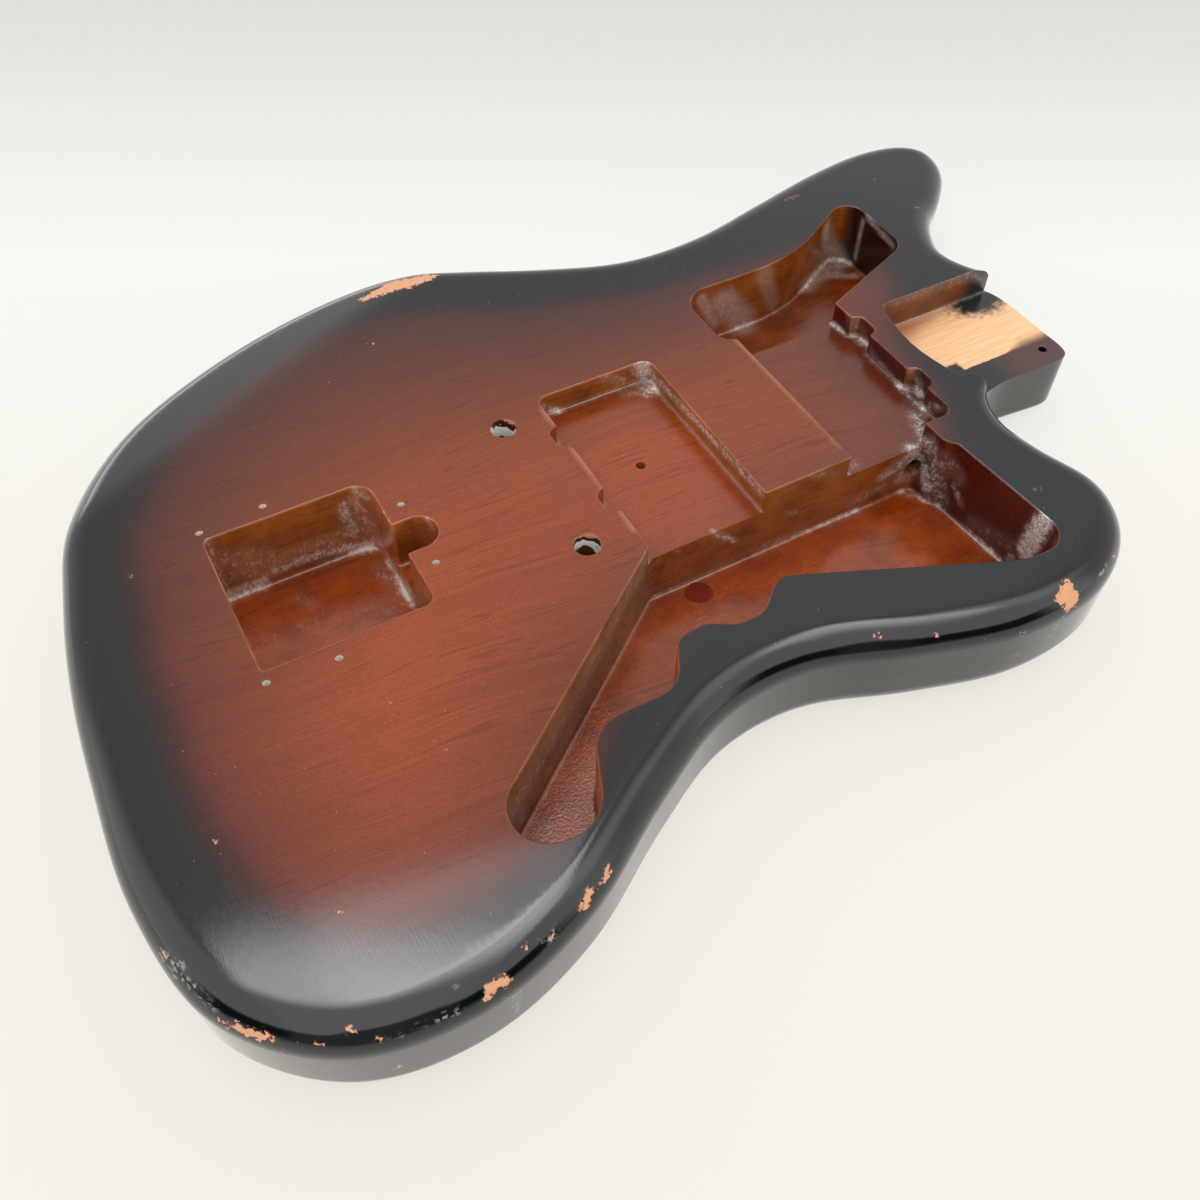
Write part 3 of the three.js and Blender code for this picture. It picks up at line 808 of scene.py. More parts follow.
CHIPS = tuple(Mark((x, y), radius) for x, y, radius in (
    (364, 299, 2.1), (371, 296, 3.0), (379, 292, 4.0), (388, 288, 4.5), (397, 285, 4.8), (407, 283, 4.5),
    (417, 280, 3.8), (426, 277, 3.2), (433, 276, 2.0), (467, 272, 1.4), (1068, 591, 3.6), (1072, 600, 3.6),
    (1062, 598, 2.9), (1068, 607, 1.9), (500, 982, 2.1), (492, 989, 2.3), (488, 995, 1.6), (507, 980, 1.4),
    (588, 895, 1.8), (586, 903, 2.1), (583, 909, 1.3), (594, 892, 1.0), (608, 868, 1.4), (607, 876, 1.4),
    (603, 881, 1.2), (380, 1039, 0.9), (351, 1031, 1.0), (526, 945, 0.8), (552, 937, 0.9), (222, 1022, 0.8),
    (230, 1025, 1.3), (238, 1028, 1.6), (247, 1032, 1.9), (256, 1035, 1.9), (263, 1036, 1.4),
    (273, 1040, 1.2), (318, 1044, 0.9), (165, 955, 1.2), (876, 637, 0.9), (936, 635, 0.9), (1015, 656, 0.8),
    (1114, 558, 0.8), (917, 207, 0.6), (217, 841, 0.9), (340, 911, 0.6), (390, 702, 0.6), (447, 750, 0.5),
    (304, 768, 0.4), (374, 344, 0.7), (330, 383, 0.5), (131, 576, 0.6), (484, 684, 0.5), (84, 762, 0.9),
    (88, 778, 0.8), (92, 792, 0.8), (384, 511, 1.2), (399, 1067, 0.9), (284, 1051, 0.7), (875, 180, 0.5),
    (916, 207, 0.5), (575, 711, 0.8), (578, 719, 0.6), (527, 791, 0.5), (546, 936, 0.5),
))

RUBS = tuple(Mark((x, y), radius) for x, y, radius in (
    (787, 200, 1.1), (791, 198, 1.3), (796, 196, 1.0), (800, 195, 0.6), (789, 203, 0.7),
))


@dataclass(frozen=True)
class Stroke:
    """A smear of dried polishing compound between two places that the photograph shows.

    Attributes:
        start: One end, in the photograph's frame.
        end: The other end.
        radius: Half its width in millimetres.
        strength: How much of the lacquer it hides, from 0 to 1.
    """

    start: tuple[float, float]
    end: tuple[float, float]
    radius: float
    strength: float


STROKES = tuple(Stroke((x, y), (x2, y2), radius, strength) for x, y, x2, y2, radius, strength in (
    (228, 596, 262, 582, 3.2, 0.8), (262, 578, 300, 561, 2.2, 0.6), (300, 560, 343, 549, 2.5, 0.7),
    (343, 549, 371, 546, 3.0, 0.85), (334, 545, 363, 524, 7.0, 0.4), (240, 575, 320, 545, 5.0, 0.35),
    (343, 506, 355, 534, 3.0, 0.6), (352, 500, 362, 512, 2.5, 0.45), (356, 490, 366, 497, 2.2, 0.6),
    (376, 541, 412, 602, 2.6, 0.65), (384, 568, 410, 596, 5.0, 0.4), (207, 541, 228, 594, 2.0, 0.4),
    (260, 640, 400, 608, 9.0, 0.16), (300, 600, 318, 606, 3.0, 0.25), (428, 520, 432, 526, 1.6, 0.5),
    (390, 520, 394, 530, 1.2, 0.4), (642, 365, 649, 391, 4.5, 0.75), (655, 378, 700, 425, 2.4, 0.55),
    (700, 425, 761, 493, 2.2, 0.6), (604, 378, 623, 381, 2.4, 0.35), (543, 407, 559, 410, 1.8, 0.55),
    (625, 395, 650, 388, 2.0, 0.4), (714, 533, 735, 541, 1.6, 0.65), (786, 514, 796, 512, 1.4, 0.4),
    (815, 474, 854, 464, 3.0, 0.3), (678, 551, 679, 552, 1.2, 0.5), (652, 596, 760, 548, 1.0, 0.4),
    (760, 548, 857, 509, 1.3, 0.45), (913, 449, 926, 486, 3.6, 0.85), (884, 476, 906, 460, 4.0, 0.6),
    (852, 502, 884, 486, 3.0, 0.4), (916, 415, 929, 444, 3.0, 0.65), (900, 386, 922, 409, 2.4, 0.5),
    (930, 406, 948, 415, 1.8, 0.45), (900, 492, 926, 498, 1.8, 0.6), (926, 498, 999, 556, 1.6, 0.6),
    (938, 457, 958, 476, 4.5, 0.34), (954, 486, 961, 505, 1.8, 0.4), (974, 524, 1012, 546, 4.0, 0.25),
    (1025, 552, 1044, 521, 4.4, 1.0), (1008, 558, 1028, 556, 2.0, 0.45), (701, 299, 715, 324, 3.0, 0.5),
    (732, 287, 736, 324, 1.2, 0.35), (764, 274, 773, 303, 4.5, 0.28), (740, 321, 805, 287, 1.3, 0.4),
    (805, 287, 850, 264, 1.6, 0.5), (826, 230, 838, 262, 5.0, 0.65), (805, 287, 834, 262, 4.5, 0.45),
    (822, 276, 855, 276, 2.0, 0.5), (863, 221, 855, 258, 1.4, 0.55), (867, 217, 893, 246, 1.6, 0.5),
    (850, 315, 863, 344, 3.0, 0.32), (832, 324, 867, 344, 1.6, 0.45), (912, 369, 920, 393, 2.5, 0.4),
    (870, 350, 905, 386, 1.2, 0.35), (645, 562, 580, 690, 6.0, 0.3), (580, 690, 515, 808, 6.0, 0.34),
    (520, 812, 545, 830, 4.0, 0.3), (895, 298, 968, 276, 4.0, 0.3), (965, 272, 984, 282, 2.0, 0.3),
    (722, 302, 742, 320, 7.0, 0.5), (220, 562, 262, 560, 7.0, 0.35), (904, 474, 922, 466, 6.0, 0.55),
    (931, 446, 941, 498, 4.5, 0.45),
))

SCUFFS = tuple(Stroke((x, y), (x2, y2), radius, strength) for x, y, x2, y2, radius, strength in (
    (159, 952, 170, 962, 1.6, 0.8), (170, 962, 182, 966, 1.4, 0.7), (173, 972, 186, 980, 1.4, 0.8),
    (184, 980, 197, 990, 1.2, 0.8), (200, 996, 214, 1008, 1.2, 0.6), (413, 1029, 436, 1021, 0.6, 0.5),
    (438, 1020, 459, 1011, 1.0, 0.75), (507, 997, 518, 992, 1.0, 0.8), (455, 989, 460, 987, 0.5, 0.6),
    (541, 943, 556, 932, 1.2, 0.7), (385, 1038, 402, 1034, 0.5, 0.5), (1074, 619, 1080, 616, 0.9, 0.9),
    (1058, 622, 1062, 618, 0.9, 0.7), (1100, 575, 1106, 566, 0.9, 0.8), (1020, 634, 1024, 634, 0.8, 0.8),
    (82, 752, 97, 806, 0.8, 0.7), (1036, 487, 1044, 500, 0.5, 0.6), (420, 270, 476, 273, 0.8, 0.5),
))


@dataclass
class Photograph:
    """Finds the place on the body that a pixel of the photograph shows."""

    camera: Camera
    whole: bpy.types.Object
    size: float = 1200

    def place(self, pixel: tuple[float, float]) -> Vector | None:
        """The first point of the body along the pixel's ray, in millimetres.

        Args:
            pixel: Place in the photograph's frame, from its upper left corner.

        Returns:
            The point, or None where the ray misses the body.
        """
        camera = self.camera
        across = (pixel[0] / self.size - 0.5 + camera.shift[0]) * camera.sensor
        up = (0.5 - pixel[1] / self.size + camera.shift[1]) * camera.sensor
        matrix = bpy.context.scene.camera.matrix_world
        ray = matrix.to_3x3() @ Vector((across, up, -camera.lens)).normalized()
        hit, point, _, _ = self.whole.ray_cast(matrix.translation, ray)
        return point / MM if hit else None

    def spots(self, marks: tuple[Mark, ...]) -> list[Spot]:
        """The marks that are on the body: their places and radii in millimetres."""
        found = [(place, mark.radius) for mark in marks if (place := self.place(mark.pixel))]
        LOG.info("%d of %d marks found", len(found), len(marks))
        return found

    def smears(self, strokes: tuple[Stroke, ...]) -> list[Smear]:
        """The strokes whose two ends are on the body: both ends in millimetres, radius and strength."""
        ends = [(self.place(stroke.start), self.place(stroke.end), stroke) for stroke in strokes]
        found = [(np.array(start), np.array(end), stroke.radius, stroke.strength)
                 for start, end, stroke in ends if start and end]
        LOG.info("%d of %d strokes found", len(found), len(strokes))
        return found


BURST_CURVE = (
    (-157, 20), (-150, 52), (-132, 84), (-100, 112), (-60, 129), (-20, 131), (15, 120), (50, 104),
    (95, 92), (140, 88), (185, 84), (204, 66), (209, 44), (199, 24), (186, 8), (177, -12), (171, -36),
    (158, -56), (138, -63), (100, -70), (52, -78), (8, -86), (-26, -104), (-52, -128), (-88, -146),
    (-124, -146), (-150, -124), (-160, -84), (-161, -36),
)


@dataclass
class Marking:
    """Numbers stored on the boards' vertices, which the lacquer reads.

    The burst value is the distance outwards from the line where the red turns black, in millimetres.
    The inside value is 1 in every recess. The corner value is the distance to the nearest edge between
    a recess's floor and its wall. The rim value is 1 on the eased rims. The veil and scuff values say
    how much compound lies there and how scratched the lacquer is.
    """

    cavities: Cavities
    strokes: list[Smear]
    scuffs: list[Smear]
    corner_limit: float = 40
    tolerance: float = 0.6
    burst_spacing: float = 3
    skin: tuple[float, float] = (0.02, 0.05)
    falloff: tuple[float, float] = (0.4, 1.6)

    def deeper(self, cavity: Cavity, places: np.ndarray) -> np.ndarray:
        """Whether each place on a recess's outline opens into a deeper recess, so that it has no floor."""
        result = np.zeros(len(places), dtype=bool)
        for other in self.cavities.recesses:
            if other.floor < cavity.floor - 1:
                wide = ring_at(other.outline, -self.tolerance, 0)[:, :2]
                result |= inside(places, wide)
        return result

    def smear(self, points: np.ndarray, strokes: list[Smear]) -> np.ndarray:
        """The strongest stroke at each point, each falling off smoothly across its width."""
        result = np.zeros(len(points))
        for start, end, radius, strength in strokes:
            run = end - start
            share = np.clip((points - start) @ run / max(run @ run, 1e-9), 0, 1)
            gap = np.linalg.norm(points - start - share[:, None] * run, axis=1)
            low, high = (radius * share for share in self.falloff)
            result = np.maximum(result, strength * (1 - eased(gap, low, high)))
        return result

    def mark(self, board: bpy.types.Object) -> None:
        """Stores the values on a board."""
        mesh = board.data
        points = coordinates(mesh)
        curve = curve_through(np.array([(x, y, 0.0) for x, y in BURST_CURVE]), self.burst_spacing)
        _, index = distance_to(points, curve)
        gap = np.abs(((points[:, :2] - curve[index, :2]) * inward_normals(curve)[index]).sum(axis=1))
        within, rim = np.zeros(len(points)), np.zeros(len(points))
        corner = np.full(len(points), self.corner_limit)
        for cavity in self.cavities.recesses:
            wide = ring_at(cavity.outline, -self.tolerance, 0)[:, :2]
            depth = cavity.top - points[:, 2]
            deep = (depth > self.skin[0]) & (points[:, 2] > cavity.floor - self.skin[1])
            chosen = np.flatnonzero(inside(points, wide) & deep)
            if not len(chosen):
                continue
            within[chosen] = 1
            away, index = distance_to(points[chosen], cavity.outline)
            rise = points[chosen, 2] - cavity.floor
            real = np.where(self.deeper(cavity, cavity.outline[index]), self.corner_limit, 0)
            corner[chosen] = np.minimum(corner[chosen], np.hypot(away, rise) + real)
            if cavity.rim_radius:
                rim[chosen[depth[chosen] < cavity.rim_radius * 1.01]] = 1
        within[self.cavities.in_channel(points)] = 1
        values = {"burst": np.where(inside(points, curve), -gap, gap), "inside": within, "corner": corner,
                  "rim": rim, "veil": self.smear(points, self.strokes) * within,
                  "scuff": self.smear(points, self.scuffs) * (1 - within)}
        for name, value in values.items():
            set_attribute(mesh, name, value)


# Materials


Socket = bpy.types.NodeSocket


def colour(code: str, level: float = 1) -> tuple[float, float, float, float]:
    """A colour written in hexadecimal as linear red, green and blue times a level, and alpha."""
    parts = [int(code[k:k + 2], 16) / 255 for k in (1, 3, 5)]
    return (*((c / 12.92 if c <= 0.04045 else ((c + 0.055) / 1.055) ** 2.4) * level for c in parts), 1)


@dataclass(frozen=True)
class Signal:
    """A node's output. Adding, subtracting or multiplying it writes one Math node."""

    graph: Graph
    socket: Socket

    def __add__(self, other: Value) -> Signal:
        """The sum of both."""
        return self.graph.math("ADD", self, other)

    def __sub__(self, other: Value) -> Signal:
        """This less another."""
        return self.graph.math("SUBTRACT", self, other)

    def __rsub__(self, other: float) -> Signal:
        """A number less this."""
        return self.graph.math("SUBTRACT", other, self)

    def __mul__(self, other: Value) -> Signal:
        """The product of both."""
        return self.graph.math("MULTIPLY", self, other)


Value = Signal | float


class Graph:
    """Writes the nodes of one material."""

    def __init__(self, name: str) -> None:
        """Starts a material.

        Args:
            name: The material's name.
        """
        self.material = bpy.data.materials.new(name)
        self.material.use_nodes = True
        self.tree = self.material.node_tree
        self.shader = self.tree.nodes["Principled BSDF"]

    def node(self, kind: str, settings: dict | None = None, **inputs: object) -> bpy.types.Node:
        """Adds a node.

        Args:
            kind: The node's type, without its prefix.
            settings: Values of the node's own properties.
            inputs: Values or signals for its inputs, by name.

        Returns:
            The node.
        """
        made = self.tree.nodes.new("ShaderNode" + kind)
        for key, value in (settings or {}).items():
            setattr(made, key, value)
        for key, value in inputs.items():
            self.feed(made.inputs[key], value)
        return made

    def feed(self, socket: Socket, value: object) -> None:
        """Links a signal to an input, or sets the input's own value, which may be a colour's code."""
        if isinstance(value, Signal):
            self.tree.links.new(value.socket, socket)
        else:
            socket.default_value = colour(value) if isinstance(value, str) else value

    def give(self, name: str, value: object) -> None:
        """Feeds an input of the material's shader."""
        self.feed(self.shader.inputs[name], value)

    def output(self, kind: str, key: str | int = 0, settings: dict | None = None,
               **inputs: object) -> Signal:
        """One output of a new node, by its name or number; the rest is as for node."""
        return Signal(self, self.node(kind, settings, **inputs).outputs[key])

    def ordered(self, kind: str, settings: dict, values: tuple, key: str | int = 0) -> Signal:
        """One output of a new node whose inputs are fed in order."""
        made = self.node(kind, settings)
        for socket, value in zip(made.inputs, values):
            self.feed(socket, value)
        return Signal(self, made.outputs[key])

    def math(self, operation: str, *values: Value, clamp: bool = False) -> Signal:
        """One sum on one to three values."""
        return self.ordered("Math", {"operation": operation, "use_clamp": clamp}, values)

    def most(self, *values: Value) -> Signal:
        """The largest of some values."""
        result = values[0]
        for value in values[1:]:
            result = self.math("MAXIMUM", result, value)
        return result

    def distance(self, value: Value, other: float) -> Signal:
        """How far a value is from a number."""
        return self.math("ABSOLUTE", value - other)

    def vector(self, operation: str, *values: object) -> Signal:
        """One sum on one to three vectors."""
        key = "Value" if operation in ("DISTANCE", "DOT_PRODUCT", "LENGTH") else "Vector"
        return self.ordered("VectorMath", {"operation": operation}, values, key)

    def scaled(self, first: object, factor: Value) -> Signal:
        """A colour or place times a number."""
        return self.output("VectorMath", "Vector", {"operation": "SCALE"}, Vector=first, Scale=factor)

    def stretched(self, place: Signal, *factors: float) -> Signal:
        """A place whose three parts are each multiplied by a number."""
        return self.vector("MULTIPLY", place, factors)

    def step(self, value: Value, low: Value, high: Value, start: Value = 0.0, end: Value = 1.0) -> Signal:
        """A smooth step of a value, from start at low to end at high."""
        return self.ordered("MapRange", {"interpolation_type": "SMOOTHSTEP", "clamp": True},
                            (value, low, high, start, end))

    def mix(self, share: Value, first: object, second: object, blend: str = "MIX") -> Signal:
        """A colour between two, or one laid over the other by a blend type."""
        made = self.node("Mix", {"data_type": "RGBA", "blend_type": blend, "clamp_factor": True})
        for index, value in zip((0, 6, 7), (share, first, second)):
            self.feed(made.inputs[index], value)
        return Signal(self, made.outputs[2])

    def tinted(self, first: object, second: object) -> Signal:
        """A colour multiplied by another."""
        return self.mix(1.0, first, second, "MULTIPLY")

    def noise(self, place: Signal, scale: float, detail: float = 3, roughness: float = 0.5,
              key: int = 0) -> Signal:
        """A noise's height at a place, or its colour where the key is 1, from 0 to 1."""
        return self.output("TexNoise", key, Vector=place, Scale=scale, Detail=detail, Roughness=roughness)

    def cells(self, place: Signal, scale: float, key: str) -> Signal:
        """The distance or colour of the nearest of many scattered points."""
        return self.output("TexVoronoi", key, {"feature": "F1"}, Vector=place, Scale=scale)

    def attribute(self, name: str) -> Signal:
        """A number stored on the piece."""
        return self.output("Attribute", "Fac", {"attribute_type": "GEOMETRY", "attribute_name": name})

    def split(self, place: Signal) -> list[Signal]:
        """The three parts of a vector."""
        return [Signal(self, output) for output in self.node("SeparateXYZ", Vector=place).outputs]

    def joined(self, x: Value, y: Value, z: Value = 0.0) -> Signal:
        """A vector of three parts."""
        return self.output("CombineXYZ", X=x, Y=y, Z=z)

    def place(self) -> Signal:
        """The place on the piece, in millimetres."""
        return self.scaled(self.output("TexCoord", "Object"), 1 / MM)

    def ramp(self, value: Value, stops: Stops) -> Signal:
        """A colour ramp over a value.

        Args:
            value: The value.
            stops: Values in rising order, each with its colour.

        Returns:
            The colour.
        """
        low, high = stops[0][0], stops[-1][0]
        share = self.ordered("MapRange", {"clamp": True}, (value, low, high))
        made = self.node("ValToRGB")
        elements = made.color_ramp.elements
        while len(elements) < len(stops):
            elements.new(0.5)
        for element, (place, code) in zip(elements, stops):
            element.position = (place - low) / (high - low)
            element.color = colour(code)
        self.feed(made.inputs[0], share)
        return Signal(self, made.outputs[0])


@dataclass(frozen=True)
class BurstLacquer:
    """Aged sunburst lacquer over wood: clear in the middle, red further out and black at the edges."""

    cavities: Cavities
    burst: Stops = (
        (-90, "#9c4614"), (-50, "#893c14"), (-25, "#753316"), (-12, "#682b16"), (-6, "#592317"),
        (0, "#3b1813"), (7, "#1a1412"), (14, "#0a1113"),
    )
    bass_to_treble_level: tuple[float, float] = (0.52, 1.3)
    # grey on the sides: painted light over the black lacquer
    side_painted_sheen: str = "#3a3b3a"
    recess_floor: str = "#c25a10"
    recess_wall: str = "#b46a28"
    control_wall: str = "#9a7450"
    lobe_wall: str = "#c87848"
    # painted shade: darker deep red for walls that face the butt
    recess_far_shade: str = "#661a06"
    bare_wood: str = "#eab088"
    dark_wood: str = "#c98a64"
    undercoat: str = "#8a4a30"
    rubbed: str = "#7c4234"
    scuffed: str = "#9aa09c"
    compound: str = "#e6e0d8"
    # pale rims: partly worn thin lacquer, partly painted highlight
    rim_wear_and_highlight: str = "#cc8c6c"
    pocket_wood: str = "#ffd09c"
    pocket_wall: str = "#c4beb8"
    pocket_stain: str = "#a8683a"
    pocket_red: str = "#4c2c2a"
    pocket_dark: str = "#15191a"
    lips: tuple[float, float] = (19.6, 117.4)
    hole_drift: float = 16.0
    hole_margins: tuple[float, float] = (0.3, 0.25)

    def nearest(self, g: Graph, place: Signal, marks: list[Spot]) -> Value:
        """How far a place lies outside the nearest mark, in millimetres: below 0 is inside it."""
        result: Value = 100.0
        for centre, radius in marks:
            away = g.vector("DISTANCE", place, tuple(centre)) - radius
            result = away if isinstance(result, float) else g.math("MINIMUM", result, away)
        return result

    def build(self, board: str, chips: list[Spot], rubs: list[Spot]) -> bpy.types.Material:
        """Writes the material of one board.

        Args:
            board: The board's name.
            chips: Places and radii where the lacquer has chipped off, in millimetres.
            rubs: Places and radii where it is rubbed thin.

        Returns:
            The material.
        """
        g = Graph("burst_lacquer_" + board)
        place = g.place()
        normal = g.output("TexCoord", "Normal")
        facing_x, _, facing_up = g.split(normal)
        x, y, z = g.split(place)
        flat = g.step(facing_up, 0.6, 0.9)
        recess = g.attribute("inside")
        if board == "centre_board":
            heel = g.most(g.step(y, -27.2, -27.9) * g.step(x, 201.0, 203.0),
                          g.step(x, 260.5, 261.5))
            recess = recess * (1.0 - heel * (1.0 - flat))
        grain = self.grain(g, x, y, z)
        speckle = g.noise(place, 1.5, 2, 0.5)
        # Sunburst
        drift = (g.noise(place, 0.022, 2) - 0.5) * 9.0
        top = g.ramp(g.attribute("burst") + drift, self.burst)
        # Darker towards the bass side and lighter towards the treble side.
        top = g.scaled(top, g.step(y, 120.0, -90.0, *self.bass_to_treble_level))
        # Painted light on the sides: their black lacquer is lifted to grey to stand in for the pale floor's
        # light.
        side = g.step(facing_up, 0.35, 0.05)
        top = g.mix(side, top, self.side_painted_sheen, "LIGHTEN")
        # Recesses
        shelf = g.step(z, 30.0, 33.0) * flat
        # Painted shade: floors on the bass board, in the deep rhythm cavity, are dimmed to 0.6.
        floor = colour(self.recess_floor, 0.6 if board == "bass_board" else 1.0)
        low = g.mix(flat, self.walls(g, x, y, facing_x, board), floor)
        cloud = g.noise(place, 0.06, 4, 0.6)
        low = g.tinted(low, g.ramp(cloud, ((0.3, "#b8a69a"), (0.7, "#ffffff"))))
        deep = g.mix(shelf * 0.9, low, g.scaled(top, g.step(x, 80.0, 120.0, 1.25, 0.8)))
        coat = g.mix(recess, top, deep)
        coat = g.tinted(coat, grain)
        coat = g.tinted(coat, g.ramp(speckle, ((0.3, "#e2dad6"), (0.7, "#ffffff"))))
        # Rims: a pale line, partly worn thin lacquer and partly painted highlight, strongest on rims that
        # face the far side.
        rim = g.step(g.attribute("rim"), 0.75, 0.97) * g.step(cloud, 0.3, 0.65, 0.05, 0.6)
        facing = g.vector("DOT_PRODUCT", normal, (0.47, 0.88, 0.0))
        rim = rim * g.step(facing, -0.1, 0.3, 0.4, 1.0)
        coat = g.mix(rim * g.step(g.attribute("burst"), -4.0, -14.0, 0.12, 1.0), coat, self.rim_wear_and_highlight)
        if board == "centre_board":
            # Pale lines along the pickup cavities' rims: partly worn lacquer, partly painted highlight.
            lips = g.most(*(g.step(g.distance(x, lip), 0.2, 2.8, 1.0, 0.0)
                            * g.step(g.math("ABSOLUTE", y), 38.0, 42.0, 1.0, 0.0) for lip in self.lips))
            lips = lips * flat * g.step(z, 44.0, 44.5) * g.step(cloud, 0.25, 0.6, 0.1, 0.32)
            coat = g.mix(lips, coat, self.rim_wear_and_highlight)
            coat = self.pocket(g, coat, place, x, y, z, flat)
            coat = self.hole_walls(g, coat, place, z)
        # Compound
        gain, base = (0.35, 0.42) if board == "bass_board" else (0.85, 0.17)
        powder = g.math("MULTIPLY", self.powder(g, place, gain, base), recess, clamp=True)
        coat = g.mix(powder, coat, self.compound)
        # Chips
        ragged = g.noise(place, 0.6, 5, 0.72, key=1)
        moved = g.vector("ADD", place, (-2.8, -2.5, -2.5))
        moved = g.vector("MULTIPLY_ADD", ragged, (3.6, 3.0, 3.0), moved)
        flakes = g.cells(place, 0.75, "Color")
        moved = g.vector("MULTIPLY_ADD", flakes, (2.0, 2.0, 2.0), moved)
        rub = g.step(self.nearest(g, moved, rubs), -0.1, 0.5, 0.85, 0.0)
        coat = g.mix(rub, coat, self.rubbed)
        gap = self.nearest(g, moved, chips)
        chip = g.step(gap, -0.1, 0.06, 1.0, 0.0)
        coat = g.mix(g.step(gap, 0.05, 0.45, 0.7, 0.0), coat, self.undercoat)
        fibre = g.noise(g.stretched(place, 0.25, 1.5, 1.5), 0.9, 4)
        coat = g.mix(chip, coat, g.mix(fibre, self.bare_wood, self.dark_wood))
        scratches = g.noise(g.stretched(place, 0.5, 0.5, 0.9), 1.0, 3, 0.6)
        scuff = g.attribute("scuff") * g.step(scratches, 0.52, 0.58)
        dots = g.cells(place, 0.14, "Distance")
        scuff = g.most(scuff, g.step(dots, 0.035, 0.015, 0.0, 1.0) * (0.7 - recess * 0.7))
        coat = g.mix(scuff, coat, self.scuffed)
        g.give("Base Color", coat)
        # Gloss
        mottle = g.noise(place, 0.9, 3, 0.6)
        level = recess * flat
        brushed = g.noise(g.stretched(place, 1.6, 0.16, 1.0), 1.0, 3, 0.6)
        smooth = g.step(mottle, 0.2, 0.8, 0.05, 0.08) + brushed * 0.05
        smooth = smooth + recess * 0.16
        smooth = smooth - level * 0.2
        lobe = g.step(x, 10.0, -45.0) * g.step(y, -70.0, -80.0)
        worn = g.most(chip, scuff, powder) * 0.7
        worn = g.most(worn, lobe * level * 0.25)
        g.give("Roughness", g.most(smooth, worn))
        grit = g.noise(place, 0.95, 2, 0.5) * lobe * 0.14
        pebble = (speckle * 0.08 + grit) * level
        height = pebble + chip * -0.25 + (powder * 0.06 + brushed * 0.012)
        g.give("Normal", g.output("Bump", Height=height, Strength=1.0, Distance=MM))
        g.give("IOR", 1.5)
        return g.material

    def walls(self, g: Graph, x: Signal, y: Signal, facing: Signal, board: str) -> Signal:
        """The recess walls: amber, greyer by the controls, and a darker deep red as painted shade on those
        that face the butt.
        """
        # Painted shade: walls facing the butt turn darker deep red, darker still on the bass board.
        far = g.step(facing, -0.3, -0.9) * g.step(x, 90.0, 160.0)
        dark = colour(self.recess_far_shade, 0.35 if board == "bass_board" else 0.8)
        controls = g.step(x, 84.0, 78.0) * g.step(y, -33.0, -36.0) * g.step(facing, 0.12, 0.3) * 0.85
        lobes = g.step(x, 80.0, 60.0) * g.step(facing, -0.05, -0.3)
        wall = g.mix(controls, self.recess_wall, self.control_wall)
        wall = g.mix(lobes, wall, self.lobe_wall)
        return g.mix(far, wall, dark)

    def powder(self, g: Graph, place: Signal, gain: float, base: float) -> Signal:
        """How much dried compound lies at a place: veils, lines along the floor's edges, and specks."""
        strokes = g.noise(g.stretched(place, 1.0, 0.4, 0.35), 0.8, 5, 0.65)
        fine = g.noise(place, 0.32, 5, 0.68)
        veil = g.attribute("veil")
        both = g.step(strokes, 0.35, 0.65) * 0.5 + g.step(fine, 0.36, 0.64) * 0.5
        cover = g.step(veil * 0.95 + both, 0.75, 1.25)
        grains = g.step(g.noise(place, 1.0, 5, 0.72), 0.42, 0.6, 0.25, 1.0)
        haze = veil * (cover * grains * gain + base)
        line = g.step(g.attribute("corner"), 0.3, 2.2, 1.0, 0.0) * (veil * 1.1 + 0.1)
        line = line * g.step(fine, 0.35, 0.65, 0.2, 1.0)
        cells = g.cells(place, 0.3, "Distance")
        specks = g.step(cells, 0.06, 0.025, 0.0, 1.0) * 0.5
        return g.most(g.math("ADD", haze, line, clamp=True), specks)

    def pocket(self, g: Graph, coat: Signal, place: Signal, x: Signal, y: Signal, z: Signal,
               flat: Signal) -> Signal:
        """The neck pocket's floor: bare wood where it was masked, and overspray round it."""
        shiver = (g.noise(place, 0.3, 4, 0.6) - 0.5) * 1.6
        across = y + shiver
        soft = g.step(x, 234.0, 250.0, 0.5, 7.0)
        low = g.step(across + 13.3, soft * -0.15, soft)
        step = g.step(x + shiver, 209.8, 211.6)
        bare = low * g.most(step, g.step(across, -8.2, -6.4))
        stain = g.vector("LENGTH", g.vector("MULTIPLY", g.vector("SUBTRACT", place, (250.0, 24.5, 29.0)),
                                            (0.067, 0.11, 0.0))) - shiver * 0.8
        bare = bare * g.step(stain, 0.7, 1.5)
        film = g.step(across, 24.0, 26.5) * g.step(x, 236.0, 214.0)
        lines = g.noise(g.stretched(place, 0.05, 1.0, 1.0), 0.9, 4, 0.6)
        wood = g.tinted(self.pocket_wood, g.ramp(lines, ((0.3, "#ecdccb"), (0.65, "#ffffff"))))
        slant = x * -0.35 + across
        stained = g.step(slant, -62.0, -44.0) * 0.85
        wood = g.mix(stained, wood, g.tinted(wood, self.pocket_stain))
        wood = g.mix(film * 0.2, wood, self.compound)
        spray = g.mix(g.step(x, 216.0, 240.0), self.pocket_dark, self.pocket_red)
        spray = g.mix(g.step(y, 5.0, 15.0), spray, self.pocket_dark)
        within = g.step(x, 183.0, 184.0)
        nose = g.step(x + shiver * 2.0, 240.0, 250.0) * (g.attribute("inside") * (1.0 - flat))
        upright = within * (1.0 - flat)
        coat = g.mix(upright, coat, g.tinted(coat, self.pocket_wall))
        coat = g.mix(nose * 0.92, coat, self.pocket_dark)
        level = flat * (within * g.step(z, 31.5, 30.0))
        return g.mix(level, coat, g.mix(bare, spray, wood))

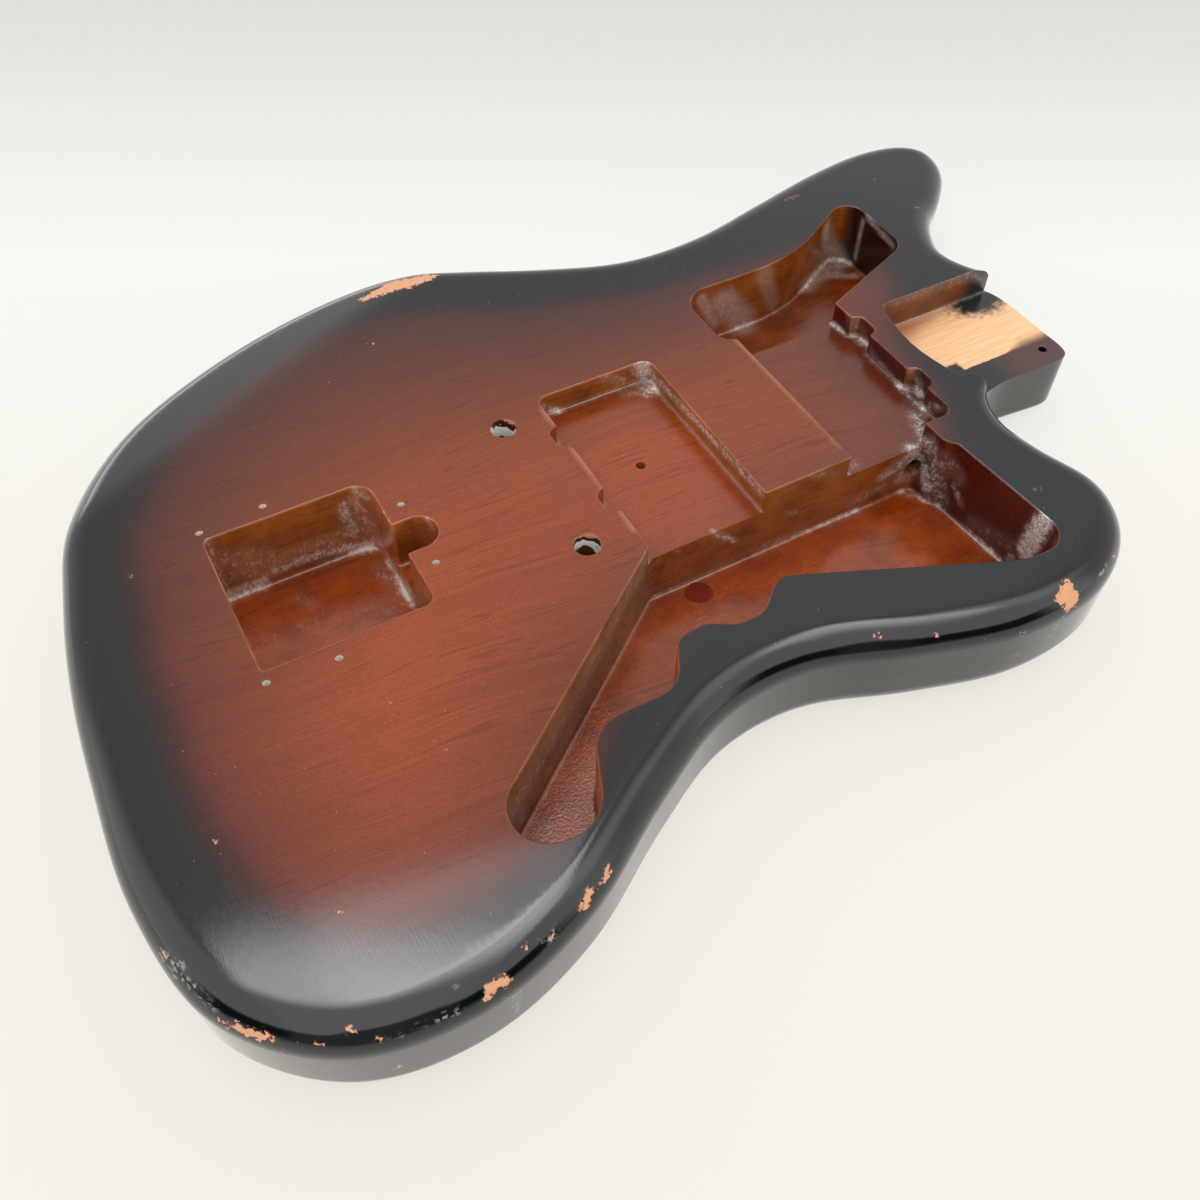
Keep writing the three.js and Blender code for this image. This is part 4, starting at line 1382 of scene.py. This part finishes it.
    def hole_walls(self, g: Graph, coat: Signal, place: Signal, z: Signal) -> Signal:
        """The walls of the post holes and pilots: dark above, then patches of compound, then brown wood."""
        patch = g.noise(place, 0.12, 3)
        level = z + (patch - 0.5) * self.hole_drift
        plane = g.stretched(place, 1.0, 1.0, 0.0)
        cavities = self.cavities
        wide, narrow = self.hole_margins
        posts = [((x, y, 0), cavities.post_radius + wide) for x, y in cavities.posts()]
        pilots = [((x, y, 0), cavities.pilot_radius + narrow) for x, y in cavities.pilots()]
        below = g.step(z, 44.75, 44.5)
        # The pale top stops of the post holes' ramp are partly worn lacquer and partly painted highlight on
        # the eased lip.
        for marks, stops in (
            (posts, ((30.0, "#5c3418"), (35.5, "#6a4020"), (36.0, "#ffffff"), (41.2, "#ffffff"),
                     (41.5, "#3a1e10"), (43.6, "#4a2412"), (44.2, "#d09878"), (45.0, "#d09878"))),
            (pilots, ((30.0, "#fffaf2"), (44.3, "#fffaf2"), (44.6, "#7a5a48"), (45.0, "#3a2014"))),
        ):
            near = g.step(self.nearest(g, plane, marks), -0.05, 0.1, 1.0, 0.0) * below
            shifted = level if marks is posts else z + patch * 0.6
            coat = g.mix(near, coat, g.ramp(shifted, stops))
        return coat

    def grain(self, g: Graph, x: Signal, y: Signal, z: Signal) -> Signal:
        """Fibres and pores along the body that wander a little, as a colour that multiplies."""
        middle = g.joined(x * 0.5, y * 0.2)
        wander = g.noise(middle, 0.02, 1) * 22.0
        lean = x * y * 0.0006
        across = y + wander - lean
        fibres = g.joined(x * 0.03, across, z)
        pores = g.joined(x * 0.1, across, z)
        slow = g.joined(x * 0.004, across * 0.09, z * 0.09)
        fine = g.ramp(g.noise(fibres, 1.1, 5, 0.65), ((0.3, "#e9e0db"), (0.6, "#ffffff")))
        dots = g.ramp(g.noise(pores, 1.9, 2, 0.5), ((0.62, "#ffffff"), (0.76, "#dacbc3")))
        bands = g.ramp(g.noise(slow, 1.0, 3, 0.5), ((0.3, "#f0e8e3"), (0.44, "#ffffff"), (0.49, "#ffffff"),
                                                    (0.5, "#dccac2"), (0.51, "#ffffff"), (0.7, "#f4eeea")))
        return g.tinted(g.tinted(fine, dots), bands)


@dataclass(frozen=True)
class PlugWood:
    """The plug's lacquered end grain: fine rings round its middle under the same brown."""

    wood: str = "#8c2400"

    def build(self) -> bpy.types.Material:
        """Writes the material."""
        g = Graph("plug_wood")
        place = g.place()
        rings = g.ramp(g.noise(g.stretched(place, 0.4, 2.0, 1.0), 0.8, 4),
                       ((0.3, "#c0b0a8"), (0.7, "#ffffff")))
        g.give("Base Color", g.tinted(self.wood, rings))
        g.give("Roughness", g.step(g.noise(place, 0.5, 3), 0.2, 0.8, 0.05, 0.1))
        return g.material


@dataclass
class FloorPlug:
    """The round plug in the control cavity's floor."""

    cavities: Cavities

    def build(self) -> bpy.types.Object:
        """A disc with an eased edge, its profile carried round its middle."""
        cavities = self.cavities
        top, radius = cavities.control_floor, cavities.plug_radius
        outline = rounded(circle(*cavities.plug_place, radius), 0.6)
        ease = 0.1
        rings = [ring_at(outline, 0, top - cavities.plug_thickness), ring_at(outline, 0, top - ease)]
        rings += [ring_at(outline, ease * (1 - math.cos(a)), top - ease * (1 - math.sin(a)))
                  for a in np.linspace(0, math.pi / 2, 4)[1:]]
        return loft(rings, 2, flat_cap=False).to_object("floor_plug_look")


# Surroundings


@dataclass
class Studio:
    """A pale floor, an even white sky, one soft lamp overhead, and a brighter room in the gloss alone."""

    floor_reach: float = 6000
    # The floor darkens further away: painted shade.
    floor_tones: Stops = (
        (-240, "#f4f0e8"), (150, "#f6f5ef"), (213, "#f6f7f2"), (271, "#f0f1ec"), (348, "#e8e9e4"),
        (465, "#dddeda"), (540, "#dadbd6"),
    )
    floor_edge: tuple[float, float] = (-280, -600)
    floor_shade: float = -0.77
    floor_glow: float = 0.75
    glossy_glow: float = 0.3
    far_heading: float = 62
    sky_level: float = 1.12
    far_level: float = 0.92
    near_level: float = 1.75
    window_level: float = 6.2
    corner_level: float = 0.3
    wall_level: float = 2.0
    patch_level: float = 0.9
    lamp_heading: float = 79
    lamp_height: float = 73.5
    lamp_distance: float = 3000
    lamp_size: tuple[float, float] = (850, 720)
    lamp_level: float = 2.5

    def floor(self) -> bpy.types.Object:
        """The floor, level with the back of the body."""
        reach = self.floor_reach * MM
        mesh = bpy.data.meshes.new("floor")
        corners = [(x * reach, y * reach, 0) for x, y in ((-1, -1), (1, -1), (1, 1), (-1, 1))]
        mesh.from_pydata(corners, [], [(0, 1, 2, 3)])
        made = placed("floor", mesh)
        g = Graph("floor")
        g.give("Roughness", 0.8)
        g.give("Specular IOR Level", 0.1)
        camera, glossy, through = (g.output("LightPath", f"Is {kind} Ray")
                                   for kind in ("Camera", "Glossy", "Transmission"))
        seen = g.most(camera, glossy, through)
        along = g.vector("DOT_PRODUCT", g.output("TexCoord", "Object"),
                         self.heading(self.far_heading) / MM)
        # Painted shade: the floor's colour darkens further away.
        pale = g.ramp(along, self.floor_tones)
        g.give("Base Color", g.scaled(pale, seen * self.floor_shade + 1.0))
        g.give("Emission Color", pale)
        glow = seen * self.floor_glow + glossy * self.glossy_glow
        beyond = glossy * g.step(along, *self.floor_edge)
        glow = glow * (1.0 - beyond)
        g.give("Emission Strength", glow)
        mesh.materials.append(g.material)
        return made

    def heading(self, degrees: float, height: float = 0) -> Vector:
        """The unit vector of a heading from +X towards +Y, raised by a height above the horizon."""
        turn, rise = math.radians(degrees), math.radians(height)
        return Vector((math.cos(turn) * math.cos(rise), math.sin(turn) * math.cos(rise), math.sin(rise)))

    def sky(self) -> None:
        """The world: even white light, and in reflections the brightness of a room by direction.

        The room is brighter on the camera's side, dark low behind the camera, and has a window overhead,
        a pale wall far to the left and a lighter patch to the right.
        """
        world = bpy.data.worlds.new("sky")
        world.use_nodes = True
        bpy.context.scene.world = world
        g = Graph("sky_draft")
        bpy.data.materials.remove(g.material)
        g.tree = world.node_tree
        way = g.output("TexCoord", "Generated")
        ahead = g.vector("DOT_PRODUCT", way, self.heading(self.far_heading))
        right = g.vector("DOT_PRODUCT", way, self.heading(self.far_heading - 90))
        rise = g.split(way)[2]
        edge = ahead + g.most(right - 0.45, 0.0) * 0.6
        room = g.step(edge, 0.35, 0.12, self.far_level, self.near_level)
        dip = g.step(g.distance(right, 0.12), 0.42, 0.2, 0.0, 0.18)
        low = rise - dip
        behind = g.step(ahead, -0.3, -0.55) * g.step(low, 0.4, 0.3)
        room = room * (1.0 - behind)
        left = right + g.most(ahead, 0.0) * -0.5
        near = ahead + g.most(right, 0.0) * 0.7
        far = right + g.most(ahead, 0.0) * 0.9
        window = (g.step(ahead, 0.39, 0.35) * g.step(near, -0.14, 0.34, 0.05, 1.0)
                  * g.step(left, -0.49, -0.44) * g.step(far, 0.53, 0.45)
                  * g.step(right, 0.15, 0.5, 1.0, 0.5) * self.window_level)
        wall = g.step(ahead, 0.6, 0.75) * g.step(right, -0.15, -0.35) * g.step(rise, 0.27, 0.08)
        corner = (g.step(right, 0.0, 0.1) * g.step(right, 0.5, 0.25)
                  * g.step(ahead, 0.3, 0.45) * g.step(ahead, 0.75, 0.62))
        patch = (g.step(right, 0.3, 0.45) * g.step(right, 0.85, 0.65)
                 * g.step(ahead, 0.3, 0.15) * g.step(ahead, -0.25, 0.0))
        room = room + (window + corner * self.corner_level)
        room = room + (wall * self.wall_level + patch * self.patch_level)
        glossy = g.output("LightPath", "Is Glossy Ray")
        more = glossy * (room - self.sky_level)
        g.feed(g.tree.nodes["Background"].inputs["Strength"], more + self.sky_level)
        g.tree.nodes["Background"].inputs["Color"].default_value = (1, 1, 1, 1)

    def lamp(self) -> None:
        """The soft lamp, whose power gives its face the named level of brightness."""
        data = bpy.data.lights.new("lamp", "AREA")
        data.shape = "RECTANGLE"
        data.size, data.size_y = (side * MM for side in self.lamp_size)
        data.energy = self.lamp_level * math.pi * data.size * data.size_y
        made = placed("lamp", data)
        place = self.heading(self.lamp_heading, self.lamp_height) * self.lamp_distance * MM
        turn = (-place).to_track_quat("-Z", "Y").to_matrix().to_4x4()
        made.matrix_world = Matrix.Translation(place) @ turn


def main() -> None:
    """Builds the pieces in order, dresses them, attaches each to its body and hides the part that it stands
    for.
    """
    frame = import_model()
    LOG.info("nodes: %s", sorted(frame["nodes"]))
    scene = bpy.context.scene
    scene.view_settings.view_transform = "Standard"
    camera = Camera()
    camera.build()
    studio = Studio()
    studio.floor()
    studio.sky()
    studio.lamp()

    block = BodyBlock()
    cavities = Cavities(block)
    boards = Boards(block, cavities)
    made = boards.build()
    photograph = Photograph(camera, boards.whole)
    chips, rubs = photograph.spots(CHIPS), photograph.spots(RUBS)
    finish = BurstLacquer(cavities)
    marking = Marking(cavities, photograph.smears(STROKES), photograph.smears(SCUFFS))
    for node, board in made.items():
        marking.mark(board)
        boards.finish(board)
        board.data.materials.clear()
        board.data.materials.append(finish.build(node, boards.near(node, chips), boards.near(node, rubs)))
        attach(board, "root")
        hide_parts(node)
        LOG.info("%s: %d vertices", board.name, len(board.data.vertices))
    boards.remove_whole()

    plug = FloorPlug(cavities).build()
    plug.data.materials.append(PlugWood().build())
    boards.finish(plug)
    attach(plug, "root")
    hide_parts("floor_plug")
    LOG.info("%s: %d vertices", plug.name, len(plug.data.vertices))


if __name__ == "__main__":
    main()
